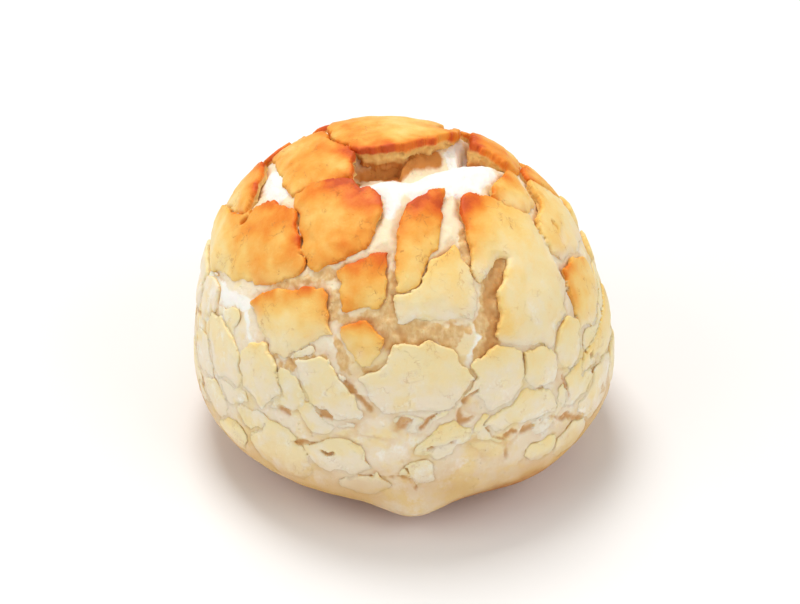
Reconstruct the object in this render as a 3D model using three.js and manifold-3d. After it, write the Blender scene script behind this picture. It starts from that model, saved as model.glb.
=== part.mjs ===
// Tiger roll: one round, high-domed bread roll with a baked paste crust that tore open as the dough rose.
//
// The roll is a single solid. It is a dome over a low girth that tucks in to a flat base, with a few gentle
// swellings of the dough, a lump of dough at the foot of the front, plates of crust that stand a little proud,
// and the wide rifts between them.
//
// Units are millimetres and +Z is up. The origin is the middle of the flat base. The front faces -Y.
// A place on the roll is a pair of angles in degrees, seen from the middle of the girth: the azimuth, which is
// 0 at the front and 90 at +X, and the polar angle, which is 0 at the crown and 90 at the girth.
import * as THREE from "three";
import { mergeVertices } from "three/addons/utils/BufferGeometryUtils.js";
import Module from "manifold-3d";

// Driving dimensions
const GIRTH_RADIUS = 47.5;
const ROLL_HEIGHT = 70;
const GIRTH_HEIGHT = 17;
const TUCK_DEPTH = 20.5; // how far below the girth the rounded underside would reach if the base did not cut it
const DOME_POWER = 2.05; // 2 is an ellipse, and more is squarer
const TUCK_POWER = 2.1;
const SKIN_DETAIL = 19; // each face of the icosahedron is split into (SKIN_DETAIL + 1) squared triangles
const BASE_CUT_SIDE = 200;

// Broad swellings and hollows of the dough: where the middle is, how far it rises and how wide it spreads.
const SWELLINGS = [
  { azimuth: 4, polar: 103, rise: 4.0, spread: 7.5 }, // the lump at the foot of the front
  { azimuth: 40, polar: 100, rise: 1.4, spread: 12 },
  { azimuth: 75, polar: 84, rise: 2.1, spread: 24 },
  { azimuth: -62, polar: 48, rise: -0.9, spread: 20 },
  { azimuth: -95, polar: 56, rise: 1.2, spread: 16 },
  { azimuth: -108, polar: 49, rise: 1.6, spread: 14 },
  { azimuth: 110, polar: 50, rise: 1.3, spread: 9 },
  { azimuth: -138, polar: 34, rise: 2.2, spread: 17 },
  { azimuth: 55, polar: 40, rise: 0.8, spread: 17 },
  { azimuth: 160, polar: 70, rise: 1.1, spread: 24 },
  { azimuth: -130, polar: 86, rise: 0.9, spread: 20 },
];

// Plates of crust that stand proud of the dome as broad, flat-topped shields.
const SHIELDS = [
  { azimuth: 180, polar: 14, rise: 2.4, spread: 13.5 }, // the crown plate
  { azimuth: -48, polar: 29, rise: 1.1, spread: 9 },
  { azimuth: 12, polar: 25, rise: 0.9, spread: 5 },
  { azimuth: 42, polar: 28, rise: 1.0, spread: 7 },
  { azimuth: -38, polar: 54, rise: 0.8, spread: 8 },
  { azimuth: 5, polar: 59, rise: 0.8, spread: 9 },
  { azimuth: 48, polar: 50, rise: 0.8, spread: 9 },
  { azimuth: 120, polar: 35, rise: 1.0, spread: 9 },
  { azimuth: -130, polar: 34, rise: 1.0, spread: 10 },
  { azimuth: 175, polar: 45, rise: 1.0, spread: 10 },
];

// Rifts where the crust tore: the line each follows, its half width and its depth.
const RIFTS = [
  // across the crown, in front of the crown plate
  { line: [[-80, 12], [-40, 8], [10, 7], [60, 8], [92, 12], [112, 17]], halfWidth: 5.0, depth: 4.4 },
  { line: [[-12, 13], [-10, 24], [-4, 34], [-2, 46]], halfWidth: 2.6, depth: 2.0 },
  { line: [[26, 15], [25, 25], [26, 34]], halfWidth: 2.6, depth: 2.2 },
  { line: [[38, 37], [32, 46], [27, 58]], halfWidth: 2.6, depth: 2.2 },
  { line: [[-78, 60], [-50, 46], [-30, 37], [-14, 33]], halfWidth: 2.4, depth: 1.4 },
  { line: [[-2, 47], [12, 48], [22, 52]], halfWidth: 2.4, depth: 1.4 },
  { line: [[-90, 33], [-84, 40]], halfWidth: 2.4, depth: 1.8 },
  // down the back and the sides
  { line: [[112, 16], [118, 26], [98, 42], [92, 56]], halfWidth: 2.6, depth: 2.2 },
  { line: [[-120, 18], [-112, 30], [-104, 44], [-108, 60]], halfWidth: 2.6, depth: 2.2 },
  { line: [[150, 26], [152, 40], [146, 56], [150, 68]], halfWidth: 2.6, depth: 2.2 },
  { line: [[-158, 24], [-162, 38], [-152, 52], [-156, 66]], halfWidth: 2.6, depth: 2.0 },
];

/**
 * Distance from the middle of the girth to the smooth dough along a direction.
 * @param {number} polar angle from the crown, in radians
 */
function smoothReach(polar) {
  const across = Math.abs(Math.sin(polar));
  const up = Math.cos(polar);
  const high = up >= 0;
  const vertical = high ? ROLL_HEIGHT - GIRTH_HEIGHT : TUCK_DEPTH;
  const power = high ? DOME_POWER : TUCK_POWER;
  const sum = (across / GIRTH_RADIUS) ** power + (Math.abs(up) / vertical) ** power;
  return sum ** (-1 / power);
}

/** The point of the smooth roll at an azimuth and a polar angle, both in degrees. */
function placeOn(azimuth, polar) {
  const a = THREE.MathUtils.degToRad(azimuth);
  const p = THREE.MathUtils.degToRad(polar);
  const direction = new THREE.Vector3(Math.sin(p) * Math.sin(a), -Math.sin(p) * Math.cos(a), Math.cos(p));
  return direction.multiplyScalar(smoothReach(p));
}

/** A bell-shaped fall from 1 at distance 0. */
const bell = (distance, spread) => Math.exp(-((distance / spread) ** 2));

/** A flat-topped fall from 1 at distance 0, which drops quickly at the spread. */
const shield = (distance, spread) => Math.exp(-((distance / spread) ** 4));

/** Shortest distance from a point to a line through a list of points. */
function distanceToLine(point, line) {
  const nearest = new THREE.Vector3();
  let shortest = Infinity;
  for (let i = 1; i < line.length; i++) {
    new THREE.Line3(line[i - 1], line[i]).closestPointToPoint(point, true, nearest);
    shortest = Math.min(shortest, nearest.distanceTo(point));
  }
  return shortest;
}

const swellings = SWELLINGS.map((s) => ({ ...s, middle: placeOn(s.azimuth, s.polar) }));
const shields = SHIELDS.map((s) => ({ ...s, middle: placeOn(s.azimuth, s.polar) }));
const rifts = RIFTS.map((r) => ({ ...r, line: r.line.map(([azimuth, polar]) => placeOn(azimuth, polar)) }));

/** How far the crust stands out from the smooth roll at a point of it. */
function relief(point) {
  let rise = 0;
  for (const s of swellings) rise += s.rise * bell(point.distanceTo(s.middle), s.spread);
  for (const s of shields) rise += s.rise * shield(point.distanceTo(s.middle), s.spread);
  let cut = 0;
  for (const r of rifts) cut = Math.max(cut, r.depth * bell(distanceToLine(point, r.line), r.halfWidth));
  return rise - cut;
}

/** The closed skin of the roll, before its base is cut flat. */
function makeSkin() {
  const ball = new THREE.IcosahedronGeometry(1, SKIN_DETAIL);
  ball.deleteAttribute("normal");
  ball.deleteAttribute("uv");
  const skin = mergeVertices(ball, 1e-5);
  const place = skin.getAttribute("position");
  const direction = new THREE.Vector3();
  const point = new THREE.Vector3();
  for (let i = 0; i < place.count; i++) {
    direction.fromBufferAttribute(place, i).normalize();
    const reach = smoothReach(Math.acos(THREE.MathUtils.clamp(direction.z, -1, 1)));
    point.copy(direction).multiplyScalar(reach);
    direction.multiplyScalar(reach + relief(point));
    place.setXYZ(i, direction.x, direction.y, direction.z + GIRTH_HEIGHT);
  }
  return skin;
}

/** A three.js geometry as a manifold-3d solid. */
function toSolid(wasm, geometry) {
  const bare = geometry.clone();
  bare.deleteAttribute("normal");
  bare.deleteAttribute("uv");
  const merged = mergeVertices(bare, 1e-4);
  const vertProperties = new Float32Array(merged.getAttribute("position").array);
  const triVerts = new Uint32Array(merged.index.array);
  return new wasm.Manifold(new wasm.Mesh({ numProp: 3, vertProperties, triVerts }));
}

/** A manifold-3d solid as a three.js geometry. */
function toGeometry(solid) {
  const mesh = solid.getMesh();
  const geometry = new THREE.BufferGeometry();
  geometry.setAttribute("position", new THREE.BufferAttribute(mesh.vertProperties, 3));
  geometry.setIndex(new THREE.BufferAttribute(mesh.triVerts, 1));
  geometry.computeVertexNormals();
  return geometry;
}

/** The whole roll: its skin, with everything below the resting surface cut away. */
async function makeRoll() {
  const wasm = await Module();
  wasm.setup();
  const below = new THREE.BoxGeometry(BASE_CUT_SIDE, BASE_CUT_SIDE, BASE_CUT_SIDE);
  below.translate(0, 0, -BASE_CUT_SIDE / 2);
  return toGeometry(toSolid(wasm, makeSkin()).subtract(toSolid(wasm, below)));
}

const bakedCrust = new THREE.MeshStandardMaterial({ color: 0xecc07e, roughness: 0.62, metalness: 0 });

const roll = new THREE.Mesh(await makeRoll(), bakedCrust);
roll.name = "roll";

const tigerRoll = new THREE.Group();
tigerRoll.add(roll);

export default tigerRoll;
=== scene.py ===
"""Looks of a tiger roll: a round bread roll whose baked paste crust tore into plates over pale dough.

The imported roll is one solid. Here it is replaced by the dough, which shows in the rifts and low on the
sides, and by the plates of crust that lie on it. Lengths are in millimetres until a mesh is finished, and
places on the roll are an azimuth, 0 at the front and 90 at +X, and a polar angle, 0 at the crown and 90 at
the girth, both in degrees and seen from the middle of the girth.
"""

import logging
import math
import random
from abc import ABC, abstractmethod
from collections.abc import Iterable
from dataclasses import dataclass, field
from enum import Enum
from typing import ClassVar

import bmesh
import bpy
import numpy as np
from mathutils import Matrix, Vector, noise

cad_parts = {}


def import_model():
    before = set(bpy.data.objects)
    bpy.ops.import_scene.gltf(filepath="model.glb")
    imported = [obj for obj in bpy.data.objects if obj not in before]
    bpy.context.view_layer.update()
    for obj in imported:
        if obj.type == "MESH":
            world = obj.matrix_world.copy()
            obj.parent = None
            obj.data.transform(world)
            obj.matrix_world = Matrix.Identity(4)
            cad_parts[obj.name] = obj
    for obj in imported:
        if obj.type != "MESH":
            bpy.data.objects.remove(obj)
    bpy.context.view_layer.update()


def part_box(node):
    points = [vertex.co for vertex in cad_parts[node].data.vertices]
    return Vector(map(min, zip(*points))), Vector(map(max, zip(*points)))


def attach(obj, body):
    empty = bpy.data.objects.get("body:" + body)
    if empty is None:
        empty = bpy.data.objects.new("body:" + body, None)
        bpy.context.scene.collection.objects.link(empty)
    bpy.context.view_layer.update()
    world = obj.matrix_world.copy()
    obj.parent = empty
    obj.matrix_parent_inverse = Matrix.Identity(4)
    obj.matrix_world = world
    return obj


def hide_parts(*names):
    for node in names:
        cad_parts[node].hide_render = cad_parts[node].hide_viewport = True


LOG = logging.getLogger("tiger_roll")
MM = 0.001
ROOT = "root"
ROLL_NODE = "roll"
SIDE_SWELLING = 0.75  # how far the swellings take the sides out on average, in millimetres
CROWN_RISE = 2.0  # how far the crown plate takes the top up, in millimetres
NOISE_SEED = 4  # without one, vector noise differs from run to run
RIFT_SLANT = 0.5  # how much the rift's line slants across the crown
TINY = 1e-12  # keeps a division from being by nothing

Band = tuple[float, float]  # where a change starts and where it ends, or the least and the most
Spot = tuple[float, float]  # an azimuth and a polar angle
Outline = tuple[Spot, ...]
Knots = tuple[tuple[float, float, float], ...]  # an azimuth, a polar angle and a half width at each


# --- numbers and noise ---------------------------------------------------------------------------------


def smooth_step(low: float, high: float, value: np.ndarray) -> np.ndarray:
    """A change from 0 at low to 1 at high, with soft ends.

    Args:
        low: the value where the change starts.
        high: the value where it ends, which may be under low.
        value: where to read it.

    Returns:
        The share of the change at each value.
    """
    share = np.clip((value - low) / (high - low), 0.0, 1.0)
    return share * share * (3.0 - 2.0 * share)


def bell(distance: np.ndarray, spread: float) -> np.ndarray:
    """A bell-shaped fall from 1 at distance 0."""
    return np.exp(-((distance / spread) ** 2))


def fade(distance: np.ndarray, length: float) -> np.ndarray:
    """A fall from 1 at distance 0, and 1 at distances under 0."""
    return np.exp(-np.maximum(distance, 0.0) / length)


def lengths(vectors: np.ndarray) -> np.ndarray:
    """The length of each vector."""
    return np.linalg.norm(vectors, axis=1)


def noise_at(points: np.ndarray, grain: float, offset: float = 0.0, octaves: int = 1) -> np.ndarray:
    """Smooth noise of about -1 to 1.

    Args:
        points: places in millimetres.
        grain: the size of its lumps in millimetres.
        offset: moves the pattern, so that two uses differ.
        octaves: how many layers, each finer than the last, are added.

    Returns:
        One value for each point.
    """
    scaled = (points / grain + offset).tolist()
    if octaves == 1:
        return np.array([noise.noise(p) for p in scaled])
    return np.array([noise.fractal(p, 0.8, 2.1, octaves) for p in scaled])


def noise_vectors(points: np.ndarray, grain: float, offset: float = 0.0) -> np.ndarray:
    """Smooth vector noise, one vector of about length 1 or less for each point."""
    return np.array([noise.noise_vector(p)[:] for p in (points / grain + offset).tolist()])


def cell_pull(points: np.ndarray, grain: float, offset: float = 0.0) -> tuple[np.ndarray, np.ndarray]:
    """Where the nearest cell of a random pattern lies, and how near its border is.

    Args:
        points: places in millimetres.
        grain: the size of a cell in millimetres.
        offset: moves the pattern, so that two uses differ.

    Returns:
        The step from each point to its cell's middle and the distance to its border, in millimetres.
    """
    steps = np.empty_like(points)
    border = np.empty(len(points))
    for i, p in enumerate((points / grain + offset).tolist()):
        distances, middles = noise.voronoi(p)
        steps[i] = [m - q for m, q in zip(middles[0], p)]
        border[i] = (distances[1] - distances[0]) / 2
    return steps * grain, border * grain


# --- the form of the roll ------------------------------------------------------------------------------


def direction_to(azimuth: float, polar: float) -> np.ndarray:
    """The unit vector towards an azimuth and a polar angle."""
    a, p = math.radians(azimuth), math.radians(polar)
    return np.array([math.sin(p) * math.sin(a), -math.sin(p) * math.cos(a), math.cos(p)])


def azimuths(direction: np.ndarray) -> np.ndarray:
    """The azimuth of each unit vector."""
    return np.degrees(np.arctan2(direction[:, 0], -direction[:, 1]))


def polar_angles(direction: np.ndarray) -> np.ndarray:
    """The polar angle of each unit vector."""
    return np.degrees(np.arccos(np.clip(direction[:, 2], -1.0, 1.0)))


def behind_rift(direction: np.ndarray) -> np.ndarray:
    """How far each unit vector points behind the slanting line of the rift across the crown."""
    return direction[:, 1] - RIFT_SLANT * direction[:, 0]


@dataclass(frozen=True)
class Swelling:
    """A broad rise or hollow of the dough, in degrees and millimetres."""

    azimuth: float
    polar: float
    rise: float
    spread: float


@dataclass(frozen=True)
class RollForm:
    """The smooth roll: a dome over a low girth that tucks in to a flat base.

    Points are in millimetres and are seen from the middle of the girth.
    """

    girth_radius: float = 47.5
    height: float = 70.0
    girth_height: float = 17.0
    tuck_depth: float = 20.5  # how far below the girth the underside would reach without the base
    dome_power: float = 2.05  # 2 is an ellipse, and more is squarer
    tuck_power: float = 2.1
    base_rounding: float = 1.6
    swellings: tuple[Swelling, ...] = (
        Swelling(4, 103, 4.0, 7.5),
        Swelling(40, 100, 1.4, 12),
        Swelling(75, 84, 2.1, 24),
        Swelling(-62, 48, -0.9, 20),
        Swelling(-95, 56, 1.2, 16),
        Swelling(-108, 49, 1.6, 14),
        Swelling(110, 50, 1.3, 9),
        Swelling(-138, 34, 2.2, 17),
        Swelling(55, 40, 0.8, 17),
        Swelling(160, 70, 1.1, 24),
        Swelling(-130, 86, 0.9, 20),
    )

    @classmethod
    def filling(cls, low: Iterable[float], high: Iterable[float]) -> "RollForm":
        """The form of a roll with a given box.

        Args:
            low: the box's lowest corner, in metres.
            high: its highest corner.

        Returns:
            The form, without the swellings at the sides and the crown plate that the box has room for.
        """
        width, depth, height = ((h - l) / MM for l, h in zip(low, high))
        girth_radius = round((width + depth) / 4 - SIDE_SWELLING, 1)
        return cls(girth_radius=girth_radius, height=round(height - CROWN_RISE, 1))

    def reach(self, direction: np.ndarray) -> np.ndarray:
        """Distance to the smooth roll, before the base is cut.

        Args:
            direction: unit vectors.

        Returns:
            The distance along each.
        """
        across = np.hypot(direction[:, 0], direction[:, 1])
        up = direction[:, 2]
        high = up >= 0
        vertical = np.where(high, self.height - self.girth_height, self.tuck_depth)
        power = np.where(high, self.dome_power, self.tuck_power)
        total = (across / self.girth_radius) ** power + (np.abs(up) / vertical) ** power
        return total ** (-1.0 / power)

    def place(self, azimuth: float, polar: float) -> np.ndarray:
        """The point of the smooth roll at an azimuth and a polar angle."""
        direction = direction_to(azimuth, polar)
        return direction * self.reach(direction[None])[0]

    def points(self, direction: np.ndarray) -> np.ndarray:
        """The points of the smooth roll along unit directions."""
        return direction * self.reach(direction)[:, None]

    def away_from(self, points: np.ndarray, azimuth: float, polar: float) -> np.ndarray:
        """Distance of points from a place on the smooth roll."""
        return lengths(points - self.place(azimuth, polar))

    def finished(self, direction: np.ndarray, rise: np.ndarray) -> np.ndarray:
        """The points of the finished surface, with the swellings and the flat base.

        Args:
            direction: unit vectors.
            rise: how far the surface stands out from the smooth dough, in millimetres.

        Returns:
            The points, in millimetres from the middle of the base.
        """
        points = self.points(direction)
        reach = self.reach(direction) + rise
        for s in self.swellings:
            reach = reach + s.rise * bell(self.away_from(points, s.azimuth, s.polar), s.spread)
        floor = self.girth_height / np.maximum(-direction[:, 2], TINY)
        blend = np.clip(0.5 + (floor - reach) / (2 * self.base_rounding), 0.0, 1.0)
        rounded = reach * blend + floor * (1 - blend) - self.base_rounding * blend * (1 - blend)
        return direction * rounded[:, None] + np.array([0.0, 0.0, self.girth_height])


# --- the map of the torn crust -------------------------------------------------------------------------


@dataclass(frozen=True)
class TornEdge:
    """How a plate's edge goes down: through the crust's lip, then through the crumb that tore with it."""

    lip: float
    crumb: float = 0.0
    undercut: float = 0.0
    step: float = 0.5
    fold: float = 0.32  # how far each third ring of the crumb stands out

    def rings(self) -> list[tuple[float, float]]:
        """The rings that the edge goes down by.

        Returns:
            How far out and how far down each lies, from the top of the edge to its foot.
        """
        if not self.crumb:
            return [(0.05, 0.5 * self.lip), (0.0, self.lip), (-0.4, self.lip + 0.7)]
        lip = [(0.09, 0.25 * self.lip), (0.1, 0.6 * self.lip), (0.0, self.lip)]
        count = max(1, round(self.crumb / self.step))
        folds = [self.fold if k % 3 == 1 else 0.0 for k in range(count + 1)]
        wall = [(fold - self.undercut * (0.6 + 0.4 * k / count), self.lip + 0.2 + self.crumb * k / count)
                for k, fold in enumerate(folds)]
        return lip + wall + [(-self.undercut - 1.0, self.lip + self.crumb + 1.2)]


class Zone(Enum):
    """The height band of a plate, which gives the piece it belongs to and its torn edge."""

    CROWN = TornEdge(lip=2.2, crumb=4.2, undercut=1.1, step=0.5)
    SHOULDER = TornEdge(lip=1.2, crumb=0.9, undercut=0.35, step=0.45)
    SIDE = TornEdge(lip=0.8)
    SKIRT = TornEdge(lip=0.4)


@dataclass(frozen=True)
class Plate:
    """A plate of crust: how brown it is, how far it stands out and where its corners are."""

    name: str
    zone: Zone
    bake: float
    lift: float
    outline: Outline


@dataclass(frozen=True)
class Stroke:
    """A line over the roll, each knot with an azimuth, a polar angle and a half width in millimetres."""

    knots: Knots


def strokes(*lines: Knots) -> tuple[Stroke, ...]:
    """Strokes from plain knots."""
    return tuple(Stroke(line) for line in lines)


FRONT_PLATES = (
    Plate("crown", Zone.CROWN, 0.60, 2.0, (
        (-106, 16), (-103, 12), (-102, 9), (-109, 5.5), (-139, 2.5), (152, 2), (144, 4.5), (136, 8),
        (133, 13), (133, 17), (142, 26), (155, 30), (172, 28), (-165, 28), (-148, 30), (-134, 25),
        (-120, 19))),
    Plate("crown_left", Zone.CROWN, 0.62, 1.7, (
        (-116, 11), (-77, 11.5), (-58, 13.2), (-70, 20), (-80, 25), (-81, 27.5), (-90, 29.5),
        (-108, 33), (-120, 38), (-133, 36), (-134, 26), (-126, 15))),
    Plate("right_ridge", Zone.CROWN, 0.66, 2.2, (
        (112, 22), (122, 21), (136, 25), (146, 31), (138, 38), (124, 42), (112, 38), (103, 31),
        (104, 27))),
    Plate("brow", Zone.SHOULDER, 0.68, 1.7, (
        (-79, 21), (-67, 16.5), (-52, 14.5), (-37, 15), (-27, 14), (-18, 15.5), (-15, 20), (-14.5, 24.5),
        (-17.5, 29), (-24, 31), (-31, 34), (-36, 37.5), (-44, 36.5), (-51, 34), (-60, 30), (-72, 28),
        (-79, 25.5))),
    Plate("left_cheek", Zone.SHOULDER, 0.55, 1.3, (
        (-82, 31.5), (-77, 32), (-66, 28.5), (-51, 32), (-42, 36.5), (-42, 40), (-49, 44), (-57, 48),
        (-71, 53), (-86, 59), (-99, 62.5), (-109, 62), (-111, 55), (-97, 46.5), (-88, 41), (-86, 38))),
    Plate("far_left", Zone.SHOULDER, 0.56, 1.4, (
        (-126, 46), (-112, 38), (-96, 36.5), (-89, 41.5), (-98, 47), (-112, 55.5), (-113, 61),
        (-122, 58))),
    Plate("tooth", Zone.SHOULDER, 0.64, 1.6, (
        (37, 15.5), (30, 14.4), (22, 14), (14, 15), (7, 17), (1.5, 20), (-1.5, 24), (-1.5, 29.5),
        (-0.5, 34), (-1, 39.5), (4, 38.5), (8, 35), (11, 32), (16, 29), (23, 25.5), (28, 21.5),
        (32, 18.5))),
    Plate("right_cheek", Zone.SHOULDER, 0.34, 1.2, (
        (45.5, 20.5), (53, 20), (62, 23), (69.5, 28.5), (74.5, 34.5), (71, 40), (66, 46), (64, 53),
        (57, 58.5), (50, 64), (40, 60), (31, 56.5), (30, 53), (33.5, 49.5), (36.5, 44), (43, 40),
        (46, 37.5), (42, 36), (37, 38.5), (31, 40), (30, 37.5), (33, 32), (36, 27.5), (39.5, 23.8))),
    Plate("right_brow", Zone.SHOULDER, 0.48, 1.5, (
        (78, 23.5), (65, 24.5), (69, 28), (75, 34), (88, 35), (101, 31), (98, 26.5))),
    Plate("right_shoulder", Zone.SHOULDER, 0.31, 1.2, (
        (75, 36), (88, 36.5), (100, 34), (110, 41), (108, 50), (98, 55.5), (84, 53), (72, 49), (68, 45),
        (71.5, 40))),
    Plate("heart", Zone.SIDE, 0.30, 0.85, (
        (26, 29.5), (28, 34), (29.5, 38), (27, 42.5), (24.5, 48), (16, 47), (6, 45.5), (-1.5, 46),
        (-1.5, 39.5), (4, 38.8), (8, 35.8), (11.5, 32.8), (17, 30.5))),
    Plate("left_tile", Zone.SIDE, 0.45, 0.85, (
        (-57, 53.5), (-55, 50.5), (-48, 46.5), (-39, 43), (-29, 40.5), (-26, 44), (-23, 51), (-30, 55.5),
        (-34, 60.5), (-42, 61), (-49, 56))),
    Plate("middle_tile", Zone.SIDE, 0.60, 0.95, (
        (-27, 36), (-19, 32.3), (-9, 29.5), (-5.5, 30), (-5, 35), (-6, 38), (-4.5, 41), (-6.5, 43.5),
        (-13, 43), (-21, 44.5), (-24, 40))),
    Plate("button", Zone.SIDE, 0.47, 0.85, (
        (-20, 48), (-12, 46), (-8, 48.5), (-5, 50), (-6, 53.5), (-8, 57), (-12, 57.5), (-19, 51.5))),
    Plate("shield", Zone.SIDE, 0.12, 0.6, (
        (-3, 51), (2, 50.5), (6, 52), (10, 51), (15, 53.5), (17, 57.5), (23, 59.5), (24.5, 62.5),
        (19, 65), (14, 69.5), (7, 68.5), (2, 69), (-5, 70), (-8, 65), (-11.5, 61), (-5, 57.5))),
    Plate("left_wing", Zone.SIDE, 0.12, 0.42, (
        (-32, 60), (-21, 58.5), (-16, 62), (-11.5, 66.5), (-10, 70), (-17, 73.5), (-24, 71), (-28, 67))),
    Plate("right_leaf", Zone.SIDE, 0.12, 0.45, (
        (26, 72), (35, 68.5), (42, 70), (46, 75.5), (46, 79), (37, 79), (26, 78), (22.5, 75.5))),
    Plate("seed", Zone.SIDE, 0.12, 0.35, (
        (21, 64.5), (26, 65.5), (27, 69), (24, 72), (20, 70.5), (18.5, 68))),
    Plate("right_strip", Zone.SIDE, 0.40, 0.8, (
        (67, 48.5), (73, 50.5), (84, 54.5), (86, 62), (73, 67), (61.5, 65), (63, 57))),
    Plate("right_low", Zone.SIDE, 0.22, 0.45, (
        (70, 70), (88, 66), (96, 74), (92, 82), (72, 78), (58, 75), (60, 69.5))),
    Plate("left_low", Zone.SIDE, 0.14, 0.4, (
        (-74, 65), (-66, 62.5), (-58, 64), (-51, 67), (-50, 74), (-60, 78), (-70, 73))),
)

SLITS = strokes(
    ((-86, 39, 0.2), (-84, 42, 0.5)),
    ((-32, 83, 0.3), (-28, 82, 0.9), (-23, 80.5, 0.3)),
    ((-22, 82, 0.3), (-19, 82.5, 0.8), (-16, 81.5, 0.3)),
    ((-24, 70, 0.3), (-21, 71.5, 0.6), (-18, 73, 0.3)),
    ((-34, 74, 0.5), (-32, 74.3, 0.4)),
    ((-16, 61, 0.5), (-13, 64, 0.8), (-8, 68, 0.5)),
    ((-3, 74, 0.4), (1, 71.5, 1.3), (4, 71, 0.4)),
    ((6, 73, 0.5), (8, 70.5, 0.8), (10, 70, 0.4)),
    ((23, 64, 0.3), (18, 68, 0.6), (16, 73, 0.6)),
    ((16, 73, 0.5), (20, 71.5, 0.4)),
    ((42, 80, 0.3), (49, 83, 0.8), (58, 89, 0.5)),
    ((28, 79.5, 0.5), (35, 80.5, 0.7), (40, 80, 0.5)),
    ((20, 76, 0.3), (29, 81, 0.3), (29, 86, 0.3)),
    ((7, 80, 0.4), (15, 78.5, 0.3)),
    ((-10, 87, 0.3), (-1, 88, 0.3), (4, 91, 0.3)),
    ((1, 80.5, 0.3), (2, 87.5, 0.4)),
    ((80, 40, 0.3), (79, 43, 0.5)),
    ((94, 34, 0.2), (92, 37.5, 0.4)),
    ((50, 71, 0.4), (51, 78, 0.5)),
)

BACK_RIFTS = strokes(
    ((148, 20, 1.0), (152, 30, 2.2), (149, 44, 2.0), (153, 56, 0.8)),
    ((-166, 30, 0.6), (-161, 38, 2.0), (-166, 50, 1.6), (-160, 62, 0.6)),
    ((-133, 26, 0.8), (-136, 36, 1.8), (-128, 46, 2.0), (-132, 62, 0.7)),
    ((118, 44, 0.6), (122, 52, 1.8), (115, 64, 1.4), (118, 72, 0.5)),
    ((162, 49, 0.4), (172, 46, 0.8), (-178, 47, 0.4)),
    ((-118, 62, 0.4), (-100, 66, 1.3), (-84, 65, 0.5)),
)

TOASTED = strokes(
    ((43, 36, 2.0), (39, 41, 3.0), (31, 44, 3.0), (30, 50, 3.0), (27, 55, 3.0), (26, 61, 2.4)),
    ((-2, 48.5, 2.4), (10, 49, 2.4), (19, 50, 1.8)),
    ((-3, 34, 1.5), (-3, 40, 2.6), (-3, 47, 2.6), (-4, 50, 2.2)),
    ((-25, 40, 1.2), (-24, 46, 1.4), (-18, 46, 1.2), (-8, 46, 1.2)),
    ((-21, 52, 0.9), (-16, 58, 1.2), (-6, 58, 1.2)),
    ((-52, 46, 0.8), (-42, 42, 1.4), (-30, 37, 1.4), (-16, 32.5, 1.0)),
    ((-46, 62, 0.5), (-34, 62, 0.9), (-24, 58, 1.0), (-14, 64, 0.9)),
    ((31, 34, 1.6), (37, 27, 1.8)),
)

BROWNED = strokes(
    ((43, 37, 1.2), (37, 41, 1.8), (32, 45, 1.6), (31, 50, 1.9), (28, 55, 1.7), (26, 60, 1.2)),
    ((-7, 57.5, 0.4), (-9, 60, 0.9), (-4, 57, 0.5)),
    ((0, 48, 0.7), (2, 49.5, 0.8)),
    ((-46, 58, 0.3), (-40, 62, 0.7), (-33, 61, 0.3)),
)

FLOURED = strokes(
    ((-10, 6, 4.0), (30, 10, 5.5), (62, 15, 5.5), (88, 18, 4.5), (108, 18, 4.0), (124, 18, 3.0),
     (134, 22, 2.0)),
    ((-64, 10, 2.0), (-40, 10, 3.0), (-14, 11, 3.5), (-9, 18, 1.8)),
    ((-104, 34, 3.0), (-88, 31, 2.5)),
    ((25, 50, 0.9), (22, 58, 1.3)),
    ((66, 47, 0.4), (62, 60, 0.4)),
    ((-92, 68, 2.2), (-86, 63, 3.0), (-72, 58.5, 2.6), (-62, 56, 2.0), (-54, 52, 1.2), (-47, 48, 0.8)),
    ((-56, 57, 1.0), (-52, 60, 1.2), (-40, 64, 0.8)),
    ((146, 18, 2.0), (151, 28, 2.2), (150, 36, 1.2)),
    ((-166, 30, 1.2), (-162, 38, 1.4), (-164, 44, 0.6)),
    ((-133, 26, 1.4), (-136, 34, 1.6), (-131, 42, 0.8)),
    ((120, 47, 0.8), (122, 53, 1.0)),
)


@dataclass(frozen=True)
class ToneSpot:
    """A spot of the crust that is browner than its plate, or paler where its bake is under 0. Most are the
    crust's own scorched and pale patches; the pale ones at (174, 14) and (180, 8) on the crown plate are
    painted highlight.
    """

    azimuth: float
    polar: float
    spread: float
    bake: float


# the pale spots at (174, 14) and (180, 8) on the crown plate are painted highlight; the rest are browner
# and paler patches of the crust
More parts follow.
